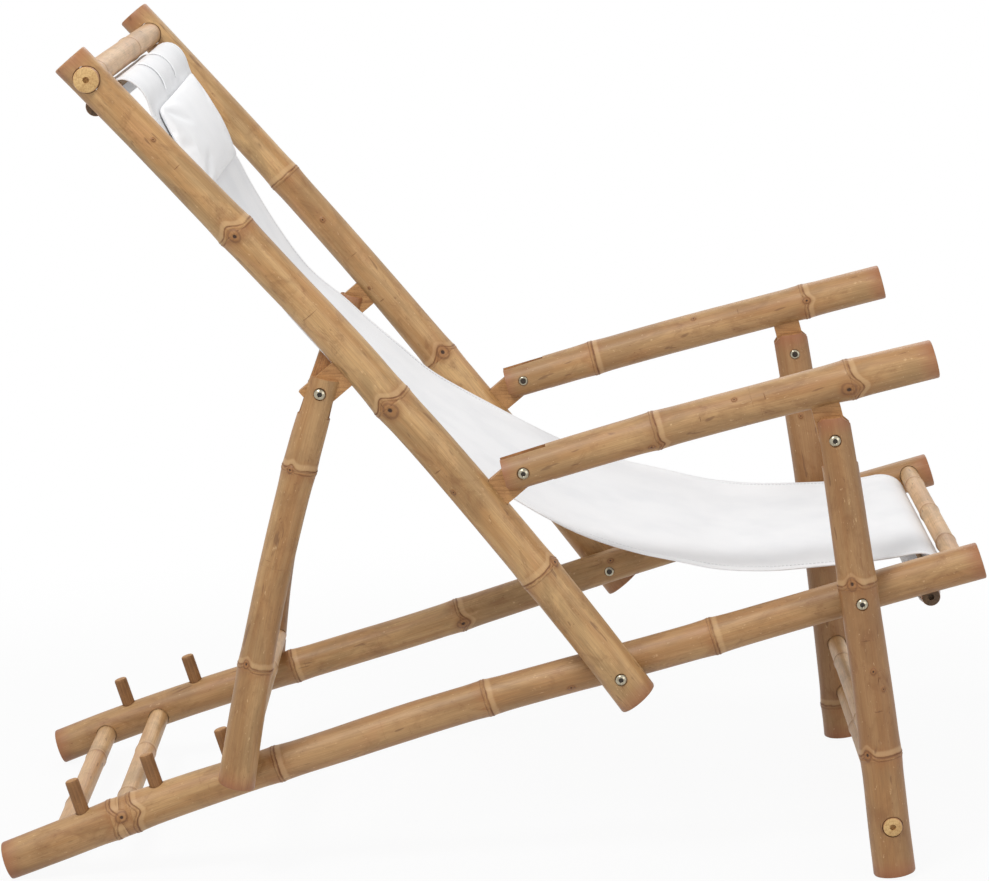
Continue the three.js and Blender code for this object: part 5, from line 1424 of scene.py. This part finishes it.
# Stitches
def stitch_tree():
    """Geometry nodes: short raised stitches laid along a drawn line."""
    flow, i, o = tree_with("stitch row", "GeometryNodeTree", [
        ("Line", "Geometry", None), ("Pitch", "Float", 0.004),
        ("Length", "Float", 0.0028), ("Thickness", "Float", 0.0004),
        ("Thread", "Material", None),
    ], [("Mesh", "Geometry")])
    line = flow.first("GeometryNodeMeshToCurve", {"Mesh": i["Line"]})
    spread = flow.node("GeometryNodeResampleCurve", {"Curve": line, "Length": i["Pitch"]}, mode="LENGTH")
    tangent = flow.first("GeometryNodeInputTangent")
    facing = flow.first("FunctionNodeAlignRotationToVector", {"Vector": tangent}, axis="Z")
    thread = flow.node("GeometryNodeMeshCylinder", {"Vertices": 6, "Side Segments": 1, "Radius": i["Thickness"],
                                                    "Depth": i["Length"]}).outputs[0]
    row = flow.node("GeometryNodeInstanceOnPoints", {"Points": spread.outputs[0], "Instance": thread,
                                                     "Rotation": facing}).outputs[0]
    real = flow.first("GeometryNodeRealizeInstances", {"Geometry": row})
    smooth = flow.first("GeometryNodeSetShadeSmooth", {"Geometry": real})
    sewn = flow.first("GeometryNodeSetMaterial", {"Geometry": smooth, "Material": i["Thread"]})
    flow.feed(o["Mesh"], sewn)
    return flow.tree


stitching = stitch_tree()
STITCH_PITCH, STITCH_LENGTH, STITCH_THICKNESS, STITCH_LIFT = 4.2, 2.8, 0.32, 0.75


def stitch(name, lines):
    points, edges = [], []
    for line in lines:
        first = len(points)
        points += [tuple(p) for p in line]
        edges += [(first + n, first + n + 1) for n in range(len(line) - 1)]
    made = link(name, mesh_of(name, points, edges=edges))
    step = made.modifiers.new("stitches", "NODES")
    step.node_group = stitching
    for label, value in (("Pitch", STITCH_PITCH * MM), ("Length", STITCH_LENGTH * MM),
                         ("Thickness", STITCH_THICKNESS * MM), ("Thread", thread_cotton)):
        step[socket_id(stitching, label)] = value
    return finished(made)


def seam_line(y, off):
    """Points along the canvas at one width, off its middle surface, short of the two rods."""
    x, z = (values[:, 0] for values in off_cloth(cloth_line, off, y / CANVAS_HALF_WIDTH))
    pick = (cloth_run > SEAM_END) & (cloth_run < CLOTH_LENGTH - SEAM_END)
    return place_of(x, laid(y, x), z)[pick]


canvas = build_canvas()
canvas_hem = stitch("canvas_hem_stitches", [
    seam_line(s * (CANVAS_HALF_WIDTH - HEM_SEAM), face * STITCH_LIFT) for s in (-1, 1) for face in (1, -1)])


# Headrest pillow
PILLOW_LENGTH, PILLOW_HALF_WIDTH, PILLOW_CROWN = 112, 194, 22
PILLOW_TOP_SHARE, PILLOW_LIFT = 0.862, 1.6
# The case before it is blown up: its seams' underside and upper side, its room to swell, and its drawn in ends
CASE_LOW, CASE_HIGH, CASE_ROOM, CASE_DRAWN_IN = 0.2, 1.5, 9, 0.045


def pillow_base():
    """The line under the pillow, down the back from its upper edge."""
    line = spline(back_line, PILLOW_STEP)
    reach = (line - np.array(back_pivot)) @ np.array(pole_along)
    start = int(np.argmax(reach > PILLOW_TOP_SHARE * POLE_LENGTH))
    return line[start - PILLOW_LENGTH:start + 1][::-1]


def pillow_form():
    """A flat sewn case, in millimetres: across, down, up."""
    rows, cols = 25, 75
    v, u = np.meshgrid(np.linspace(0, 1, rows), np.linspace(-1, 1, cols), indexing="ij")
    full = np.clip(1 - np.abs(2 * v - 1) ** 2.6, 0, 1) ** 0.5 * np.clip(1 - np.abs(u) ** 8, 0, 1) ** 0.5
    width = PILLOW_HALF_WIDTH * (1 - CASE_DRAWN_IN * (1 - full))
    top = np.stack([u * width, v * PILLOW_LENGTH, CASE_HIGH + (PILLOW_CROWN - CASE_ROOM) * full], 2)
    low = np.stack([u * width, v * PILLOW_LENGTH, CASE_LOW + 0 * full], 2)
    return np.concatenate([top.reshape(-1, 3), low.reshape(-1, 3)]), closed_faces(rows, cols)


PILLOW_VOXEL, PILLOW_HELD_BELOW, PILLOW_MOST_GROWTH, PILLOW_FRAMES = 0.0045, 0.0012, 0.009, 20


def inflate(co, faces):
    """Blows the case up with cloth pressure, in metres, its underside held flat."""
    made = link("pillow_case", mesh_of("pillow_case", co * MM, faces))
    turn_out(made.data)
    step = made.modifiers.new("remesh", "REMESH")
    step.mode, step.voxel_size = "VOXEL", PILLOW_VOXEL
    finished(made)
    rest = coords_of(made.data)
    cloth = made.modifiers.new("cloth", "CLOTH")
    settings = cloth.settings
    settings.quality, settings.mass = 8, 0.2
    settings.tension_stiffness = settings.compression_stiffness = 12
    settings.bending_stiffness = 0.4
    settings.use_pressure, settings.uniform_pressure_force = True, 3.2
    settings.effector_weights.gravity = 0
    cloth.collision_settings.use_self_collision = False
    held = made.vertex_groups.new(name="held")
    held.add([int(n) for n in np.nonzero(rest[:, 2] < PILLOW_HELD_BELOW)[0]], 1, "REPLACE")
    settings.vertex_group_mass = "held"
    cloth.point_cache.frame_end = PILLOW_FRAMES
    for number in range(1, PILLOW_FRAMES + 1):
        bpy.context.scene.frame_set(number)
    finished(made)
    bpy.context.scene.frame_set(1)
    move = coords_of(made.data) - rest
    size = np.linalg.norm(move, axis=1)
    co = rest + move * np.minimum(1, PILLOW_MOST_GROWTH / np.maximum(size, 1e-9))[:, None]
    co[:, 2] = np.clip(co[:, 2], 0.0001, PILLOW_CROWN * MM)
    set_coords(made.data, co)
    step = made.modifiers.new("smooth", "SUBSURF")
    step.levels = step.render_levels = 1
    return finished(made)


def build_pillow():
    """Lays the blown-up case on the canvas."""
    made = inflate(*pillow_form())
    base = pillow_base()
    normals = side_normals(base)
    y, down, up = (coords_of(made.data) / MM).T
    on_base = np.clip(down, 0, PILLOW_LENGTH)
    spare = down - on_base
    x, z, nx, nz = (np.interp(on_base, np.arange(len(base)), values)
                    for values in (base[:, 0], base[:, 1], normals[:, 0], normals[:, 1]))
    lift = up + PILLOW_LIFT
    x, z = x + nx * lift + nz * spare, z + nz * lift - nx * spare
    z = z + rolled(x, y / CANVAS_HALF_WIDTH)
    mesh = made.data
    set_coords(mesh, place_of(x, laid(y, x), z))
    turn_out(mesh)
    lay_uv(mesh, np.stack([y, down + up * 0.6], 1) * MM)
    mesh.materials.clear()
    mesh.materials.append(pillow_cotton)
    made.name = "headrest_cushion"
    soften(mesh, 60)
    return made


pillow = build_pillow()


# Tapes
TAPE_WIDTH, TAPE_OUT, TAPE_LIFT, TAPE_HALF = 6, 60, 2.0, 0.3


def build_tape(side):
    """A tape from the pillow's upper edge along the canvas to the roll at the top rod."""
    line = spline(back_line, TAPE_STEP)
    near = int(np.argmin(np.linalg.norm(line - pillow_base()[0], axis=1)))
    path = line[near + 2:-6]
    across = np.linspace(-TAPE_WIDTH / 2, TAPE_WIDTH / 2, 5)
    grid = len(path), len(across)
    ripple = soft_noise(grid, (7, 1), 21 + side["sign"]) * 0.35
    wander = np.sin(np.linspace(0, 1, grid[0]) * 5) * 1.5
    y = side["sign"] * TAPE_OUT + across[None, :] + wander[:, None]
    layers = []
    for way in (1, -1):
        x, z = off_cloth(path, -(TAPE_LIFT + ripple + way * TAPE_HALF), y / CANVAS_HALF_WIDTH)
        layers.append(place_of(x, y, z))
    made = sew(f"tape_{side['name']}", layers, across, np.arange(grid[0]) * TAPE_STEP, pillow_cotton, 50)
    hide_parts(f"headrest_tape_{side['name']}")
    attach(made, "back_frame")
    return made


tapes = [build_tape(side) for side in SIDES]

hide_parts("canvas_seat", "canvas_bend", "canvas_back")
blend_cloth(canvas)
blend_cloth(canvas_hem)
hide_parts("headrest_pillow")
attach(pillow, "back_frame")


# Floor, backdrop and light
bpy.context.scene.view_settings.view_transform = "Standard"
FLOOR_TONE, FLOOR_SEEN, FLOOR_SIZE = (0.66, 0.66, 0.66, 1), 0.93, 6
# The distances from the chair where the floor starts to fade, and is plain white
SHADOW_FULL, SHADOW_GONE = 0.75, 1.5
SKY, WHITE = 0.57, (1, 1, 1, 1)


def seen_as_backdrop(flow):
    """1 for what the camera, gloss and glass see, 0 for the light that falls on the chair."""
    paths = flow.node("ShaderNodeLightPath").outputs
    return flow.math("MAXIMUM", paths["Is Camera Ray"],
                     flow.math("MAXIMUM", paths["Is Glossy Ray"], paths["Is Transmission Ray"]))


def floor_white():
    """A pale matt surface that fades to plain white away from the chair, so that it has no far edge."""
    made = bpy.data.materials.new("floor")
    made.use_nodes = True
    made.node_tree.nodes.clear()
    flow = Flow(made.node_tree)
    away = flow.vector("LENGTH", own_place(flow))
    fading = flow.span(away, SHADOW_FULL, SHADOW_GONE, FLOOR_SEEN, 1.0)
    share = flow.times(seen_as_backdrop(flow), fading)
    matt = flow.node("ShaderNodeBsdfDiffuse", {"Color": FLOOR_TONE})
    glow = flow.node("ShaderNodeEmission", {"Color": WHITE, "Strength": 1.0})
    both = flow.node("ShaderNodeMixShader", {0: share, 1: matt.outputs[0], 2: glow.outputs[0]})
    flow.feed(flow.node("ShaderNodeOutputMaterial").inputs["Surface"], both.outputs[0])
    return made


def build_stage():
    corners = [(x * FLOOR_SIZE, y * FLOOR_SIZE, -0.0005) for x, y in ((-1, -1), (1, -1), (1, 1), (-1, 1))]
    floor = link("floor", mesh_of("floor", corners, [(0, 1, 2, 3)]))
    floor.data.materials.append(floor_white())
    world = bpy.data.worlds.new("studio")
    bpy.context.scene.world = world
    world.use_nodes = True
    world.node_tree.nodes.clear()
    flow = Flow(world.node_tree)
    strength = flow.math("MULTIPLY_ADD", seen_as_backdrop(flow), 1 - SKY, SKY)
    sky = flow.node("ShaderNodeBackground", {"Color": WHITE, "Strength": strength})
    flow.feed(flow.node("ShaderNodeOutputWorld").inputs["Surface"], sky.outputs[0])


LAMP_AIM = Vector((0, 0, 0.4))


def lamp(name, at, size, power):
    data = bpy.data.lights.new(name, "AREA")
    data.shape, data.size, data.energy = "DISK", size, power
    made = bpy.data.objects.new(name, data)
    made.location = at
    made.rotation_euler = (LAMP_AIM - Vector(at)).to_track_quat("-Z", "Y").to_euler()
    bpy.context.scene.collection.objects.link(made)


build_stage()
lamp("key", (-1.3, -2.3, 3.6), 1.3, 82)
lamp("fill", (2.6, -2.6, 1.5), 2.0, 17)
lamp("rim", (0.4, 2.8, 2.6), 1.8, 20)
